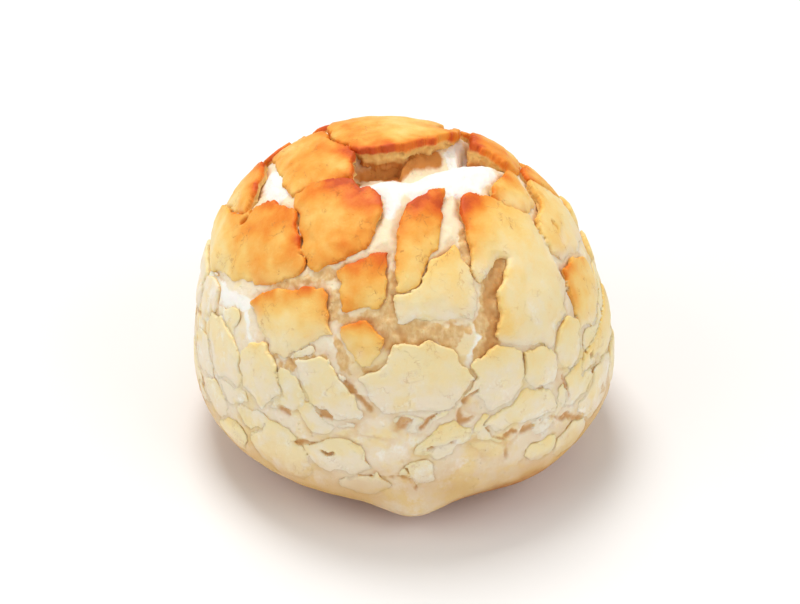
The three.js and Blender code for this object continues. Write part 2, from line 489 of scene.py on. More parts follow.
SCORCHES_AND_HIGHLIGHTS = tuple(ToneSpot(*spot) for spot in (
    (174, 14, 8.0, -0.12), (-108, 3, 4.5, 0.10), (-148, 17, 6.0, 0.08), (-123, 40, 5.0, 0.22),
    (-91, 25.5, 4.0, 0.05), (-60, 18, 4.0, 0.14), (-23, 17, 4.0, 0.08), (-42, 24, 5.0, -0.10),
    (-24, 30.5, 5.0, 0.10), (-100, 60, 8.0, -0.18), (-73, 41.5, 5.0, 0.10), (-56, 45, 5.0, 0.10),
    (-78, 55.5, 6.0, -0.12), (-82, 34.5, 4.0, 0.18), (26, 18, 3.6, 0.20), (8, 31, 4.0, -0.10),
    (2, 39, 6.0, -0.18), (47, 21.5, 3.4, 0.34), (91, 25.5, 3.2, 0.24), (50, 47, 9.0, -0.14),
    (31, 54.5, 3.5, 0.16), (-54, 52, 3.5, 0.18), (-37, 42, 4.0, 0.14), (-38, 54, 6.0, -0.16),
    (-8, 32, 3.4, 0.18), (-18, 48, 2.6, 0.10), (-8, 55, 3.0, -0.08), (-20, 42, 5.0, 0.06),
    (-26, 48, 3.0, 0.08), (-78, 68, 14.0, -0.12), (12, 17.5, 3.2, 0.16), (58, 22, 3.8, 0.26),
    (39, 26, 2.8, 0.26), (34.5, 32, 2.4, 0.14), (-44, 48, 3.8, 0.15), (180, 8, 4.0, -0.10),
    (-98, 50, 7.0, -0.16), (-38, 72, 14.0, -0.12), (1, 43, 3.5, 0.10), (-144, 26, 4.0, 0.14),
    (-175, 28, 4.0, 0.12), (-118, 20, 5.0, 0.08), (147, 19, 4.0, 0.08), (76, 46, 4.5, 0.14),
    (64, 56, 2.5, 0.20), (65, 50, 3.5, 0.12), (-78, 12.5, 3.5, -0.10), (-40, 17.5, 4.0, 0.08),
))


@dataclass(frozen=True)
class Survey:
    """What the map says at each of a set of points, in millimetres."""

    edge: np.ndarray  # distance in from the plate's edge, under 0 in the open
    owner: np.ndarray  # the nearest plate's number
    crownward: np.ndarray  # how far the nearest edges face the crown, from -1 to 1
    crown: np.ndarray  # distance in from the edge of the crown plate
    slit: np.ndarray  # distance in from a slit's side, over 0 in the slit


class Patch:
    """The outline of a plate laid flat on the plane that touches the roll at its middle."""

    def __init__(self, form: RollForm, outline: Outline) -> None:
        """Lays the outline flat.

        Args:
            form: the smooth roll.
            outline: azimuth and polar angle of each corner.
        """
        corners = np.array([form.place(*corner) for corner in outline])
        self.middle = corners.mean(axis=0)
        normal = self.middle / np.linalg.norm(self.middle)
        side = np.cross((0.0, 1.0, 0.0), normal)
        self.side = side / np.linalg.norm(side)
        self.rise = np.cross(normal, self.side)
        self.corners = self._flat(corners - self.middle)
        self.radius = lengths(corners - self.middle).max()
        self._facing = self._crown_facing(form, corners)

    def _flat(self, steps: np.ndarray) -> np.ndarray:
        """Steps laid flat on the plane."""
        return np.stack([steps @ self.side, steps @ self.rise], axis=1)

    def _crown_facing(self, form: RollForm, corners: np.ndarray) -> np.ndarray:
        """Works out which sides of the outline face the crown.

        Args:
            form: the smooth roll.
            corners: the outline's corners on it.

        Returns:
            How far each side's outer side faces the crown, from -1 to 1.
        """
        ends = np.roll(self.corners, -1, axis=0)
        along = ends - self.corners
        outward = np.stack([along[:, 1], -along[:, 0]], axis=1)
        area = np.sum(self.corners[:, 0] * ends[:, 1] - ends[:, 0] * self.corners[:, 1])
        half_way = (corners + np.roll(corners, -1, axis=0)) / 2
        crown = np.array([0.0, 0.0, form.height - form.girth_height])
        uphill = self._flat(crown - half_way)
        cosine = np.sum(outward * uphill, axis=1) / (lengths(outward) * lengths(uphill) + TINY)
        return math.copysign(1.0, area) * cosine

    def read(self, points: np.ndarray, far: float, softness: float = 1.6
             ) -> tuple[np.ndarray, np.ndarray, np.ndarray]:
        """Measures points against the outline.

        Args:
            points: places to test.
            far: points further than this outside are left out.
            softness: over what length the sides' facings mix.

        Returns:
            The numbers of the points near enough, their distance inside the outline and the facing there.
        """
        near = np.flatnonzero(lengths(points - self.middle) < self.radius + far)
        flat = self._flat(points[near] - self.middle)
        nearest = np.full(len(near), np.inf)
        inside = np.zeros(len(near), dtype=bool)
        weight = np.full(len(near), TINY)
        facing = np.zeros(len(near))
        for start, end, side_facing in zip(self.corners, np.roll(self.corners, -1, axis=0), self._facing):
            along = end - start
            share = np.clip((flat - start) @ along / (along @ along), 0.0, 1.0)
            away = lengths(flat - start - share[:, None] * along)
            nearest = np.minimum(nearest, away)
            pull = np.exp(-away / softness)
            weight += pull
            facing += pull * side_facing
            spans = (start[1] > flat[:, 1]) != (end[1] > flat[:, 1])
            rise = along[1] if abs(along[1]) > TINY else TINY
            crossing = start[0] + (flat[:, 1] - start[1]) / rise * along[0]
            inside ^= spans & (flat[:, 0] < crossing)
        return near, np.where(inside, nearest, -nearest), facing / weight


@dataclass
class CrustMap:
    """Where the crust lies: the listed plates, those scattered over the rest, and the slits."""

    form: RollForm
    seed: int = 11
    far: float = 14.0  # distances beyond this are not measured
    # the listed plates reach down to each polar angle, as far round as the azimuth with it
    front: tuple[tuple[float, float], ...] = ((30.0, 150.0), (63.0, 92.0))
    plate_tries: int = 6000
    plate_radius: Band = (5.6, 8.8)
    plate_lift: float = 1.7  # at the crown
    plate_fall: float = 1.15  # how much less it is at the lowest plates
    plates_foot: float = 82.0  # the polar angle where they are smallest and lie flattest
    plate_spacing: float = 0.82  # how near two plates' middles come, as a share of their radii together
    clearance: float = 0.55  # how far a plate keeps from the listed ones, as a share of its radius
    bake_band: Band = (27.0, 75.0)  # the polar angles between which plates turn pale
    crown_foot: float = 30.0
    shoulder_foot: float = 52.0
    skirt_top: float = 60.0
    skirt_foot: float = 92.0
    thin_tries: int = 5000
    thin_radius: Band = (3.6, 8.6)
    thin_spacing: float = 0.84
    bare_share: float = 0.2  # how many thin plates are left out
    slit_count: int = 34
    slit_azimuths: Band = (62.0, 298.0)
    slit_polars: Band = (72.0, 90.0)
    slit_length: Band = (3.0, 9.0)  # in degrees
    slit_slant: Band = (-2.5, 2.5)
    slit_width: Band = (0.35, 0.8)
    slit_tip: float = 0.2
    narrow_gap: float = 0.5
    back_gap: float = 2.2  # how much wider the gaps get down the back
    back_band: Band = (10.0, 30.0)  # how far behind the middle they do
    gap_heights: Band = (-5.0, 35.0)  # and how far above the girth
    thin_gap: float = 0.3
    bare_gap: float = 1.5  # how much wider the gaps between thin plates get, in patches
    # how far each noise moves the torn edges, its grain and its offset
    tearing: tuple[tuple[float, float, float], ...] = (
        (1.1, 6.0, 3.7), (0.5, 2.4, 11.3), (0.14, 0.9, 23.1))
    chip: float = 3.0  # the size of the chips that the edges break into
    chip_pull: float = 0.2  # how far the edges are drawn to the middles of the chips
    plates: list[Plate] = field(default_factory=list)
    slits: list[Stroke] = field(default_factory=list)

    def __post_init__(self) -> None:
        """Takes the listed plates and slits, and scatters the rest."""
        self.plates = list(FRONT_PLATES)
        self.slits = list(SLITS + BACK_RIFTS)
        self._patches = [Patch(self.form, p.outline) for p in self.plates]
        self._scatter_plates()
        self._first_thin = len(self.plates)
        self._scatter_thin_plates()
        self._scatter_slits()

    def _scatter_plates(self) -> None:
        """Adds uneven plates wherever no listed plate lies down the back and the sides."""
        draw = random.Random(self.seed)
        drawn = list(self._patches)
        taken: list[tuple[np.ndarray, float]] = []
        for _ in range(self.plate_tries):
            azimuth, polar = self._draw_place(draw, self.skirt_top + 8.0, 0.0)
            down = polar / self.plates_foot
            radius = draw.uniform(*self.plate_radius) * (1.1 - 0.3 * down)
            turn = draw.uniform(0.0, math.tau)
            corners = draw.randint(6, 8)
            spans = [radius * draw.uniform(0.95, 1.3) for _ in range(corners)]
            bake = 0.70 - 0.60 * float(smooth_step(*self.bake_band, polar)) + draw.uniform(-0.09, 0.09)
            place = self.form.place(azimuth, polar)
            if self._is_front(azimuth, polar) or self._is_taken(place, radius, taken, self.plate_spacing):
                continue
            reaches = (patch.read(place[None], 0.0)[1].max(initial=-self.form.height) for patch in drawn)
            if any(reach > -self.clearance * radius for reach in reaches):
                continue
            outline = tuple(self._beside(azimuth, polar, span, turn + math.tau * k / corners)
                            for k, span in enumerate(spans))
            zone = (Zone.CROWN if polar < self.crown_foot else
                    Zone.SHOULDER if polar < self.shoulder_foot else Zone.SIDE)
            lift = self.plate_lift - self.plate_fall * down
            self._add_plate(Plate(f"back_{len(taken)}", zone, bake, lift, outline))
            taken.append((place, radius))

    def _scatter_thin_plates(self) -> None:
        """Adds thin pale plates that lie close together low on the sides, all the way round."""
        draw = random.Random(self.seed + 2)
        taken: list[tuple[np.ndarray, float]] = []
        for _ in range(self.thin_tries):
            azimuth, polar = self._draw_place(draw, self.skirt_foot, self.skirt_top)
            radius = draw.uniform(*self.thin_radius)
            turn = draw.uniform(0.0, math.tau)
            corners = draw.randint(6, 9)
            turns = [turn + math.tau * (k + draw.uniform(-0.25, 0.25)) / corners for k in range(corners)]
            spans = [radius * draw.uniform(0.85, 1.35) * (1.0 + 0.22 * math.cos(2 * t)) for t in turns]
            bake = draw.uniform(0.0, 0.15)
            lift = draw.uniform(0.08, 0.32)
            place = self.form.place(azimuth, polar)
            if self._is_taken(place, radius, taken, self.thin_spacing):
                continue
            taken.append((place, radius))
            if draw.random() < self.bare_share:
                continue
            outline = tuple(self._beside(azimuth, polar, span, t) for span, t in zip(spans, turns))
            self._add_plate(Plate(f"skirt_{len(taken)}", Zone.SKIRT, bake, lift, outline))

    @staticmethod
    def _draw_place(draw: random.Random, lowest: float, highest: float) -> Spot:
        """Draws a place, as likely in any patch of the roll as in another of its size.

        Args:
            draw: the source of random numbers.
            lowest: the polar angle at the foot of the band of places.
            highest: the polar angle at its top.

        Returns:
            The azimuth and the polar angle.
        """
        up = draw.uniform(math.cos(math.radians(lowest)), math.cos(math.radians(highest)))
        return draw.uniform(-180.0, 180.0), math.degrees(math.acos(up))

    @staticmethod
    def _is_taken(place: np.ndarray, radius: float, taken: list[tuple[np.ndarray, float]],
                  spacing: float) -> bool:
        """Whether a plate would lie too near another."""
        return any(np.linalg.norm(place - p) < spacing * (radius + r) for p, r in taken)

    def _add_plate(self, plate: Plate) -> None:
        """Lays one more plate."""
        self.plates.append(plate)
        self._patches.append(Patch(self.form, plate.outline))

    def _is_front(self, azimuth: float, polar: float) -> bool:
        """Whether a place lies where the front's own plates and rifts are."""
        return any(polar < foot and abs(azimuth) < side for foot, side in self.front)

    def _beside(self, azimuth: float, polar: float, span: float, turn: float) -> Spot:
        """Steps over the roll.

        Args:
            azimuth: where the step starts.
            polar: where it starts.
            span: its length in millimetres.
            turn: its direction in radians, 0 round the roll and a right angle down it.

        Returns:
            The azimuth and the polar angle where it ends.
        """
        degrees = span / math.radians(self.form.girth_radius)
        ring = max(math.sin(math.radians(polar)), 0.25)
        return azimuth + degrees * math.cos(turn) / ring, max(polar + degrees * math.sin(turn), 1.0)

    def _scatter_slits(self) -> None:
        """Adds short level slits low on the sides and the back, where the front ones stop."""
        draw = random.Random(self.seed + 1)
        for _ in range(self.slit_count):
            azimuth = draw.uniform(*self.slit_azimuths)
            polar = draw.uniform(*self.slit_polars)
            half = draw.uniform(*self.slit_length) / 2
            slant = draw.uniform(*self.slit_slant)
            width = draw.uniform(*self.slit_width)
            self.slits.append(Stroke((
                (azimuth - half, polar - slant, self.slit_tip), (azimuth, polar, width),
                (azimuth + half, polar + slant, self.slit_tip))))

    def inside_strokes(self, points: np.ndarray, lines: Iterable[Stroke], far: float = 6.0) -> np.ndarray:
        """How far points lie inside the nearest of some strokes.

        Args:
            points: places to test.
            lines: the strokes.
            far: how far outside the strokes it still measures.

        Returns:
            The distance in from a stroke's side, under 0 outside.
        """
        deepest = np.full(len(points), -far)
        for line in lines:
            places = [self.form.place(azimuth, polar) for azimuth, polar, _ in line.knots]
            widths = [width for _, _, width in line.knots]
            for start, end, width, end_width in zip(places, places[1:], widths, widths[1:]):
                along = end - start
                reach = np.linalg.norm(along) / 2 + max(width, end_width) + far
                near = np.flatnonzero(lengths(points - (start + end) / 2) < reach)
                share = np.clip((points[near] - start) @ along / (along @ along), 0.0, 1.0)
                away = lengths(points[near] - start - share[:, None] * along)
                depth = width + share * (end_width - width) - away
                deepest[near] = np.maximum(deepest[near], depth)
        return deepest

    def torn(self, points: np.ndarray) -> np.ndarray:
        """Moves points about a little, so that outlines read at them are ragged as torn crust is.

        Args:
            points: places on the smooth roll.

        Returns:
            The moved points.
        """
        moved = points
        for reach, grain, offset in self.tearing:
            moved = moved + reach * noise_vectors(points, grain, offset)
        chips, _ = cell_pull(points, self.chip)
        return moved + self.chip_pull * chips

    def _nearest(self, torn: np.ndarray, first: int, last: int
                 ) -> tuple[np.ndarray, np.ndarray, np.ndarray, np.ndarray]:
        """Reads some of the plates' outlines.

        Args:
            torn: where to read them.
            first: the first plate's number.
            last: the number after the last plate's.

        Returns:
            The distance inside the nearest plate and inside the second nearest, the nearest's number, and
            how far its edges face the crown.
        """
        best = np.full(len(torn), -self.far)
        second = np.full(len(torn), -self.far)
        owner = np.full(len(torn), -1)
        crownward = np.zeros(len(torn))
        for number in range(first, last):
            near, inside, facing = self._patches[number].read(torn, self.far)
            leads = inside > best[near]
            second[near] = np.where(leads, best[near], np.maximum(second[near], inside))
            best[near] = np.where(leads, inside, best[near])
            crownward[near] = np.where(leads, facing, crownward[near])
            owner[near[leads]] = number
        return best, second, owner, crownward

    def survey(self, points: np.ndarray) -> Survey:
        """Reads the map.

        Args:
            points: places on the smooth roll in millimetres.

        Returns:
            The distances, facings and nearest plate at each point.
        """
        torn = self.torn(points)
        best, second, owner, crownward = self._nearest(torn, 0, self._first_thin)
        back = smooth_step(*self.back_band, points[:, 1] + 0.35 * np.abs(points[:, 0]))
        widen = np.clip(0.35 + 0.9 * noise_at(points, 9.0, 5.1), 0.0, 1.0)
        high = smooth_step(*self.gap_heights, points[:, 2])
        gap = self.narrow_gap + self.back_gap * back * widen * high
        edge = np.minimum(best, (best - second) / 2 - gap / 2)
        best, second, thin_owner, thin_crownward = self._nearest(torn, self._first_thin, len(self.plates))
        gap = self.thin_gap + self.bare_gap * smooth_step(0.1, 0.8, noise_at(points, 5.5, 8.3))
        thin = np.minimum(np.minimum(best, (best - second - gap) / 2), -edge - gap)
        thin = np.minimum(thin, -self.inside_strokes(torn, TOASTED + FLOURED))
        lower = thin > edge
        slit = self.inside_strokes(torn, self.slits) + 0.3 * noise_at(points, 1.4, 33.0)
        crown = self._nearest(torn, 0, 1)[0]
        return Survey(np.minimum(np.maximum(edge, thin), -slit), np.where(lower, thin_owner, owner),
                      np.where(lower, thin_crownward, crownward), crown, slit)


# --- meshes --------------------------------------------------------------------------------------------


def ball(subdivisions: int) -> bmesh.types.BMesh:
    """Makes an icosphere of radius 1.

    Args:
        subdivisions: how many times its faces are divided.

    Returns:
        The mesh.
    """
    mesh = bmesh.new()
    bmesh.ops.create_icosphere(mesh, subdivisions=subdivisions, radius=1.0)
    return mesh


def vertex_places(mesh: bmesh.types.BMesh) -> np.ndarray:
    """Where the vertices are."""
    return np.array([v.co[:] for v in mesh.verts])


def vertex_directions(mesh: bmesh.types.BMesh) -> np.ndarray:
    """The unit vectors towards the vertices."""
    places = vertex_places(mesh)
    return places / lengths(places)[:, None]


def move_vertices(mesh: bmesh.types.BMesh, places: np.ndarray) -> None:
    """Puts each vertex at its place."""
    for vertex, place in zip(mesh.verts, places.tolist()):
        vertex.co = place


def set_values(mesh: bmesh.types.BMesh, name: str, values: np.ndarray) -> bmesh.types.BMLayerItem:
    """Stores one number on each vertex.

    Args:
        mesh: the mesh.
        name: what the numbers are called, in the mesh and in its materials.
        values: one number for each vertex.

    Returns:
        The layer that holds them.
    """
    layers = mesh.verts.layers.float
    layer = layers.get(name) or layers.new(name)
    for vertex, value in zip(mesh.verts, values.tolist()):
        vertex[layer] = value
    return layer


def get_values(mesh: bmesh.types.BMesh, name: str) -> np.ndarray:
    """The numbers stored on the vertices under a name."""
    layer = mesh.verts.layers.float[name]
    return np.array([v[layer] for v in mesh.verts])


def refine(mesh: bmesh.types.BMesh, wanted: np.ndarray) -> None:
    """Halves the edges of a ball between wanted vertices.

    Args:
        mesh: a mesh of triangles on the ball of radius 1.
        wanted: for each vertex, whether its surroundings are refined.
    """
    mesh.verts.index_update()
    edges = [e for e in mesh.edges if wanted[e.verts[0].index] and wanted[e.verts[1].index]]
    bmesh.ops.subdivide_edges(mesh, edges=edges, cuts=1, use_grid_fill=True)
    bmesh.ops.triangulate(mesh, faces=[f for f in mesh.faces if len(f.verts) > 3])
    move_vertices(mesh, vertex_directions(mesh))


def cut_at_zero(mesh: bmesh.types.BMesh, layer: bmesh.types.BMLayerItem, snap: float = 0.16) -> None:
    """Cuts a mesh along the line where a vertex value passes 0, and drops the part below it.

    Args:
        mesh: a mesh of triangles.
        layer: the layer with the values.
        snap: a vertex nearer to the line than this share of an edge moves onto it.
    """
    for edge in mesh.edges:
        for near, other in (edge.verts, reversed(edge.verts)):
            gap = near[layer] - other[layer]
            if near[layer] * other[layer] < 0 and abs(near[layer]) < snap * abs(gap):
                near.co = near.co.lerp(other.co, near[layer] / gap)
                near[layer] = 0.0
    shares = {e: e.verts[0][layer] / (e.verts[0][layer] - e.verts[1][layer])
              for e in mesh.edges if e.verts[0][layer] * e.verts[1][layer] < 0}
    made = bmesh.ops.subdivide_edges(mesh, edges=list(shares), cuts=1, edge_percents=shares)["geom_inner"]
    for vertex in (m for m in made if isinstance(m, bmesh.types.BMVert)):
        vertex[layer] = 0.0
    bmesh.ops.delete(mesh, geom=[v for v in mesh.verts if v[layer] < 0], context="VERTS")
    flat = [f for f in mesh.faces if all(v[layer] == 0 for v in f.verts)]
    bmesh.ops.delete(mesh, geom=flat, context="FACES")
    bmesh.ops.triangulate(mesh, faces=[f for f in mesh.faces if len(f.verts) > 3])


def drop_small_islands(mesh: bmesh.types.BMesh, fewest: int) -> None:
    """Deletes the small separate parts of a mesh, and loose vertices.

    Args:
        mesh: the mesh.
        fewest: a part with fewer faces than this is deleted.
    """
    left = set(mesh.faces)
    small: list[bmesh.types.BMFace] = []
    while left:
        front = [left.pop()]
        island = list(front)
        while front:
            face = front.pop()
            for edge in face.edges:
                for other in edge.link_faces:
                    if other in left:
                        left.discard(other)
                        front.append(other)
                        island.append(other)
        if len(island) < fewest:
            small += island
    bmesh.ops.delete(mesh, geom=small, context="FACES")
    bmesh.ops.delete(mesh, geom=[v for v in mesh.verts if not v.link_faces], context="VERTS")


def part_pinched_corners(mesh: bmesh.types.BMesh) -> None:
    """Parts the vertices at which two corners of a sheet only touch.

    Args:
        mesh: the sheet.
    """
    for vertex in list(mesh.verts):
        rim = [e for e in vertex.link_edges if e.is_boundary]
        if len(rim) > 2:
            bmesh.utils.vert_separate(vertex, rim)


def link_object(name: str, data: bpy.types.ID) -> bpy.types.Object:
    """Puts a mesh, a light or a camera in the scene.

    Args:
        name: the object's name.
        data: what it shows.

    Returns:
        The object.
    """
    made = bpy.data.objects.new(name, data)
    bpy.context.scene.collection.objects.link(made)
    return made


def face_rank(face: bmesh.types.BMFace, count: int) -> float:
    """A number that only this face has, from its three lowest vertices among the mesh's count of them."""
    lowest, second, third = sorted(vertex.index for vertex in face.verts)[:3]
    return float((lowest * count + second) * count + third)


def mesh_object(mesh: bmesh.types.BMesh, name: str, material: bpy.types.Material) -> bpy.types.Object:
    """Turns a finished mesh into an object.

    Args:
        mesh: the mesh, in metres and in its place. It is freed.
        name: the object's name.
        material: its finish.

    Returns:
        The object.
    """
    data = bpy.data.meshes.new(name)
    mesh.verts.index_update()
    # the mesh operators leave the faces in another order each run
    mesh.faces.sort(key=lambda face: face_rank(face, len(mesh.verts)))
    mesh.to_mesh(data)
    mesh.free()
    data.materials.append(material)
    return link_object(name, data)


def finish_piece(mesh: bmesh.types.BMesh, name: str, material: bpy.types.Material) -> bpy.types.Object:
    """Turns a finished mesh into a piece that rides on the roll.

    Args:
        mesh: the mesh, in metres and in its place. It is freed.
        name: the piece's name.
        material: its finish.

    Returns:
        The piece.
    """
    piece = mesh_object(mesh, name, material)
    piece.data.shade_smooth()
    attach(piece, ROOT)
    return piece


@dataclass(frozen=True)
class Site:
    """What lies at each vertex of the dough: lengths in millimetres, and shares from 0 to 1."""

    direction: np.ndarray
    points: np.ndarray  # on the smooth roll
    polar: np.ndarray
    survey: Survey
    upper: np.ndarray  # share: high on the dome
    skirt: np.ndarray  # share: low on the sides, where the skin is pale
    bare: np.ndarray  # share: not under a plate
    opening: np.ndarray  # distance from the nearest plate
    facing: np.ndarray  # share: the nearest plate's edge faces the crown
    rift: np.ndarray  # share: in the wide rift in front of the crown plate
    slit: np.ndarray  # share: in a slit
    web: np.ndarray  # share: in a crease of the skin
    toast: np.ndarray  # share: toasted crumb
    browned: np.ndarray  # share: the browned line at the bottom of a tear
    step: np.ndarray  # share: how far up the ledges of the rift
    ledge_gold_and_shade: np.ndarray  # share: how golden the ledges are, striped with painted shade along their risers

    @property
    def trench(self) -> np.ndarray:
        """How deep a place lies in the groove beside a plate, from 0 to 1."""
        return fade(self.opening, 0.6) * self.facing * (1 - 0.6 * self.skirt)


@dataclass
class Dough:
    """The dough under the crust: floury in the rifts, a pale skin low on the sides, a brown sole."""

    form: RollForm
    crust_map: CrustMap
    subdivisions: int = 6
    # the mesh is halved from this far inside the plates' edges outwards, down to the polar angle with it
    refinements: tuple[tuple[float, float], ...] = ((1.3, 104.0), (0.7, 93.0))
    under_crust: float = -0.9
    rift_floor: float = -5.4
    rift_width: float = 12.0
    crumb_grain: float = 1.6
    lump_grain: float = 4.5
    web_cell: float = 8.5
    ledge_width: float = 3.6
    ledge_spacing: float = 1.7
    ledge_azimuths: tuple[float, float, float, float] = (15.0, 60.0, 148.0, 172.0)
    # the polar angles over which each of these sets in
    upper_band: Band = (66.0, 26.0)
    skirt_band: Band = (50.0, 66.0)
    web_band: Band = (52.0, 62.0)
    web_foot: Band = (98.0, 86.0)
    low_band: Band = (80.0, 101.0)
    sole_band: Band = (98.0, 112.0)
    lump_spot: Spot = (4.0, 101.0)  # the lump at the foot of the front stays pale
    lump_spread: float = 9.0
    scorched_and_shaded_spot: Spot = (38.0, 106.0)  # and the sole is browner right of it, partly scorched crust, partly painted shade along the contact line
    scorched_and_shaded_spread: float = 18.0

    def _measure(self, direction: np.ndarray) -> tuple[np.ndarray, np.ndarray, Survey]:
        """The smooth points along directions, their polar angles and what the map says there."""
        points = self.form.points(direction)
        return points, polar_angles(direction), self.crust_map.survey(points)

    def _rift(self, direction: np.ndarray, out: np.ndarray) -> np.ndarray:
        """How fully a place lies in the wide rift, by its direction and distance from the crown."""
        front = smooth_step(0.2, 0.07, behind_rift(direction))
        return front * smooth_step(-2.2, -1.2, out) * smooth_step(self.rift_width, 2.5, out)

    def _ledges(self, points: np.ndarray, direction: np.ndarray, out: np.ndarray
                ) -> tuple[np.ndarray, np.ndarray]:
        """The torn ledges of crumb that go down from the crown plate to the rift's floor, on the right.

        Args:
            points: places on the smooth roll.
            direction: the unit vectors towards them.
            out: their distance from the crown plate.

        Returns:
            How far up from the floor each place lies, and how golden it is with painted shade striped
            along the risers, each from 0 to 1.
        """
        start, full, ebb, end = self.ledge_azimuths
        azimuth = azimuths(direction)
        there = smooth_step(start, full, azimuth) * smooth_step(end, ebb, azimuth)
        out = out + 0.8 * noise_at(points, 6.0, 19.0) + 0.3 * noise_at(points, 1.8, 29.0)
        slope = smooth_step(self.ledge_width, 0.0, out)
        stripes = 0.5 + 0.5 * np.cos(math.tau * out / self.ledge_spacing)
        steps = slope + 0.12 * stripes * smooth_step(0.0, 0.2, slope)
        return 0.65 * there * steps, there * smooth_step(0.0, 0.5, slope) * (0.35 + 0.65 * stripes)

    def _web(self, points: np.ndarray, polar: np.ndarray) -> np.ndarray:
        """The creases of the pale skin low on the sides.

        Args:
            points: places on the smooth roll.
            polar: their polar angles.

        Returns:
            How far each place lies in a crease, from 0 to 1.
        """
        warped = self.crust_map.torn(points) * np.array([0.8, 0.8, 1.25])
        _, border = cell_pull(warped, self.web_cell, 6.0)
        _, finer = cell_pull(warped, 0.5 * self.web_cell, 9.0)
        mask = smooth_step(-0.25, 0.35, noise_at(points, 11.0, 31.0))
        fine_mask = smooth_step(0.0, 0.5, noise_at(points, 8.0, 41.0))
        creases = np.maximum(mask * bell(border, 0.55), 0.6 * fine_mask * bell(finer, 0.35))
        return creases * smooth_step(*self.web_band, polar) * smooth_step(*self.web_foot, polar)

    def _site(self, direction: np.ndarray) -> Site:
        """Works out what lies at each of a set of places.

        Args:
            direction: the unit vectors towards them.

        Returns:
            What lies there.
        """
        points, polar, survey = self._measure(direction)
        torn = self.crust_map.torn(points)
        ragged = 1.3 * noise_at(points, 2.2, 15.0, octaves=2)
        toast = smooth_step(-0.9, 0.7, self.crust_map.inside_strokes(torn, TOASTED) + ragged)
        step, ledge_gold_and_shade = self._ledges(points, direction, -survey.crown)
        return Site(
            direction=direction, points=points, polar=polar, survey=survey,
            upper=smooth_step(*self.upper_band, polar),
            skirt=smooth_step(*self.skirt_band, polar),
            bare=smooth_step(1.1, 0.25, survey.edge),
            opening=np.maximum(-survey.edge, 0.0),
            facing=smooth_step(-0.7, 0.5, survey.crownward),
            rift=self._rift(direction, -survey.crown),
            slit=smooth_step(-0.3, 0.35, survey.slit),
            web=self._web(points, polar),
            toast=np.maximum(toast, smooth_step(0.4, 1.2, survey.slit)),
            browned=smooth_step(-0.5, 0.7, self.crust_map.inside_strokes(torn, BROWNED) + 0.6 * ragged),
            step=step, ledge_gold_and_shade=ledge_gold_and_shade)

    def _relief(self, site: Site) -> tuple[np.ndarray, np.ndarray]:
        """How the dough sinks under the plates and in the tears, and its lumps and crumb.

        Args:
            site: what lies at each vertex.

        Returns:
            How far the dough stands out from the smooth roll, in millimetres, and how lumpy it is.
        """
        upper, bare = site.upper, site.bare
        level = (-0.35 * upper - (0.2 + 0.65 * upper) * site.trench
                 + 0.4 * upper * smooth_step(1.0, 3.2, site.opening))
        rise = level * bare + self.under_crust * (1 - bare) + self.rift_floor * site.rift * (1 - site.step)
        rise = rise - (0.5 + 0.6 * upper) * site.slit - 0.3 * site.web * bare - 0.45 * site.browned * bare
        raised = site.points + site.direction * rise[:, None]
        crumb = noise_at(raised, self.crumb_grain, 2.0, octaves=3)
        lumps = noise_at(raised, self.lump_grain, 7.0)
        coarse = bare * (0.07 + 0.13 * upper + 0.3 * site.toast)
        return rise + coarse * crumb + bare * (0.12 + 0.2 * upper) * lumps, lumps

    def _crease_shade_and_browning(self, site: Site) -> np.ndarray:
        """How brown the tears are: painted shade in the grooves beside the plates, along their edges and
        in the slits, and browned crumb along their browned lines.

        Args:
            site: what lies at each vertex.

        Returns:
            The share of brown: painted shade, and browned crumb.
        """
        high = 1 - site.skirt
        # warm brown beside the plates' edges: painted shade
        edge_shade = fade(site.opening, 0.4) * (0.3 * high + (0.14 + 0.16 * site.facing) * site.skirt)
        shaded = site.slit * (1 - 0.85 * smooth_step(0.5, 1.2, site.survey.slit))
        crevice = np.maximum(0.7 * site.trench * high + shaded, np.maximum(edge_shade, 0.8 * site.browned))
        return np.clip(crevice, 0.0, 1.0)

    def _dress(self, mesh: bmesh.types.BMesh, site: Site, lumps: np.ndarray) -> None:
        """Stores on the vertices what the material reads.

        Args:
            mesh: the dough's mesh.
            site: what lies at each vertex.
            lumps: how lumpy the dough is there.
        """
        form, polar = self.form, site.polar
        torn = self.crust_map.torn(site.points)
        flour = smooth_step(-1.2, 1.2, self.crust_map.inside_strokes(torn, FLOURED))
        to_side = smooth_step(85.0, 105.0, np.abs(azimuths(site.direction)))
        floured_end = smooth_step(12.0, 15.5, polar) * to_side
        # brown where the rift's floor runs under the crown plate's overhang: painted shade over torn brown
        # crumb
        wall = smooth_step(-2.8, -1.4, site.survey.crown) * site.rift
        uneven = 3.0 * lumps + 5.0 * noise_at(site.points, 16.0, 51.0)
        paler = 0.7 * bell(form.away_from(site.points, *self.lump_spot), self.lump_spread)
        # the sole right of the lump browner: scorched crust and painted contact shade
        browner = 10.0 * bell(form.away_from(site.points, *self.scorched_and_shaded_spot), self.scorched_and_shaded_spread)
        values = {
            "flour": np.clip(flour + 0.2 * site.upper, 0.0, 1.0),
            "toast": site.toast,
            "crevice": self._crease_shade_and_browning(site),
            "web": site.web,
            "recess": np.maximum(wall, 0.75 * site.ledge_gold_and_shade) * (1 - floured_end),
            "low": smooth_step(*self.low_band, polar + uneven) * (1 - paler),
            "sole": smooth_step(*self.sole_band, polar + 3.0 * lumps + browner),
            "upper": site.upper,
        }
        for name, value in values.items():
            set_values(mesh, name, value)

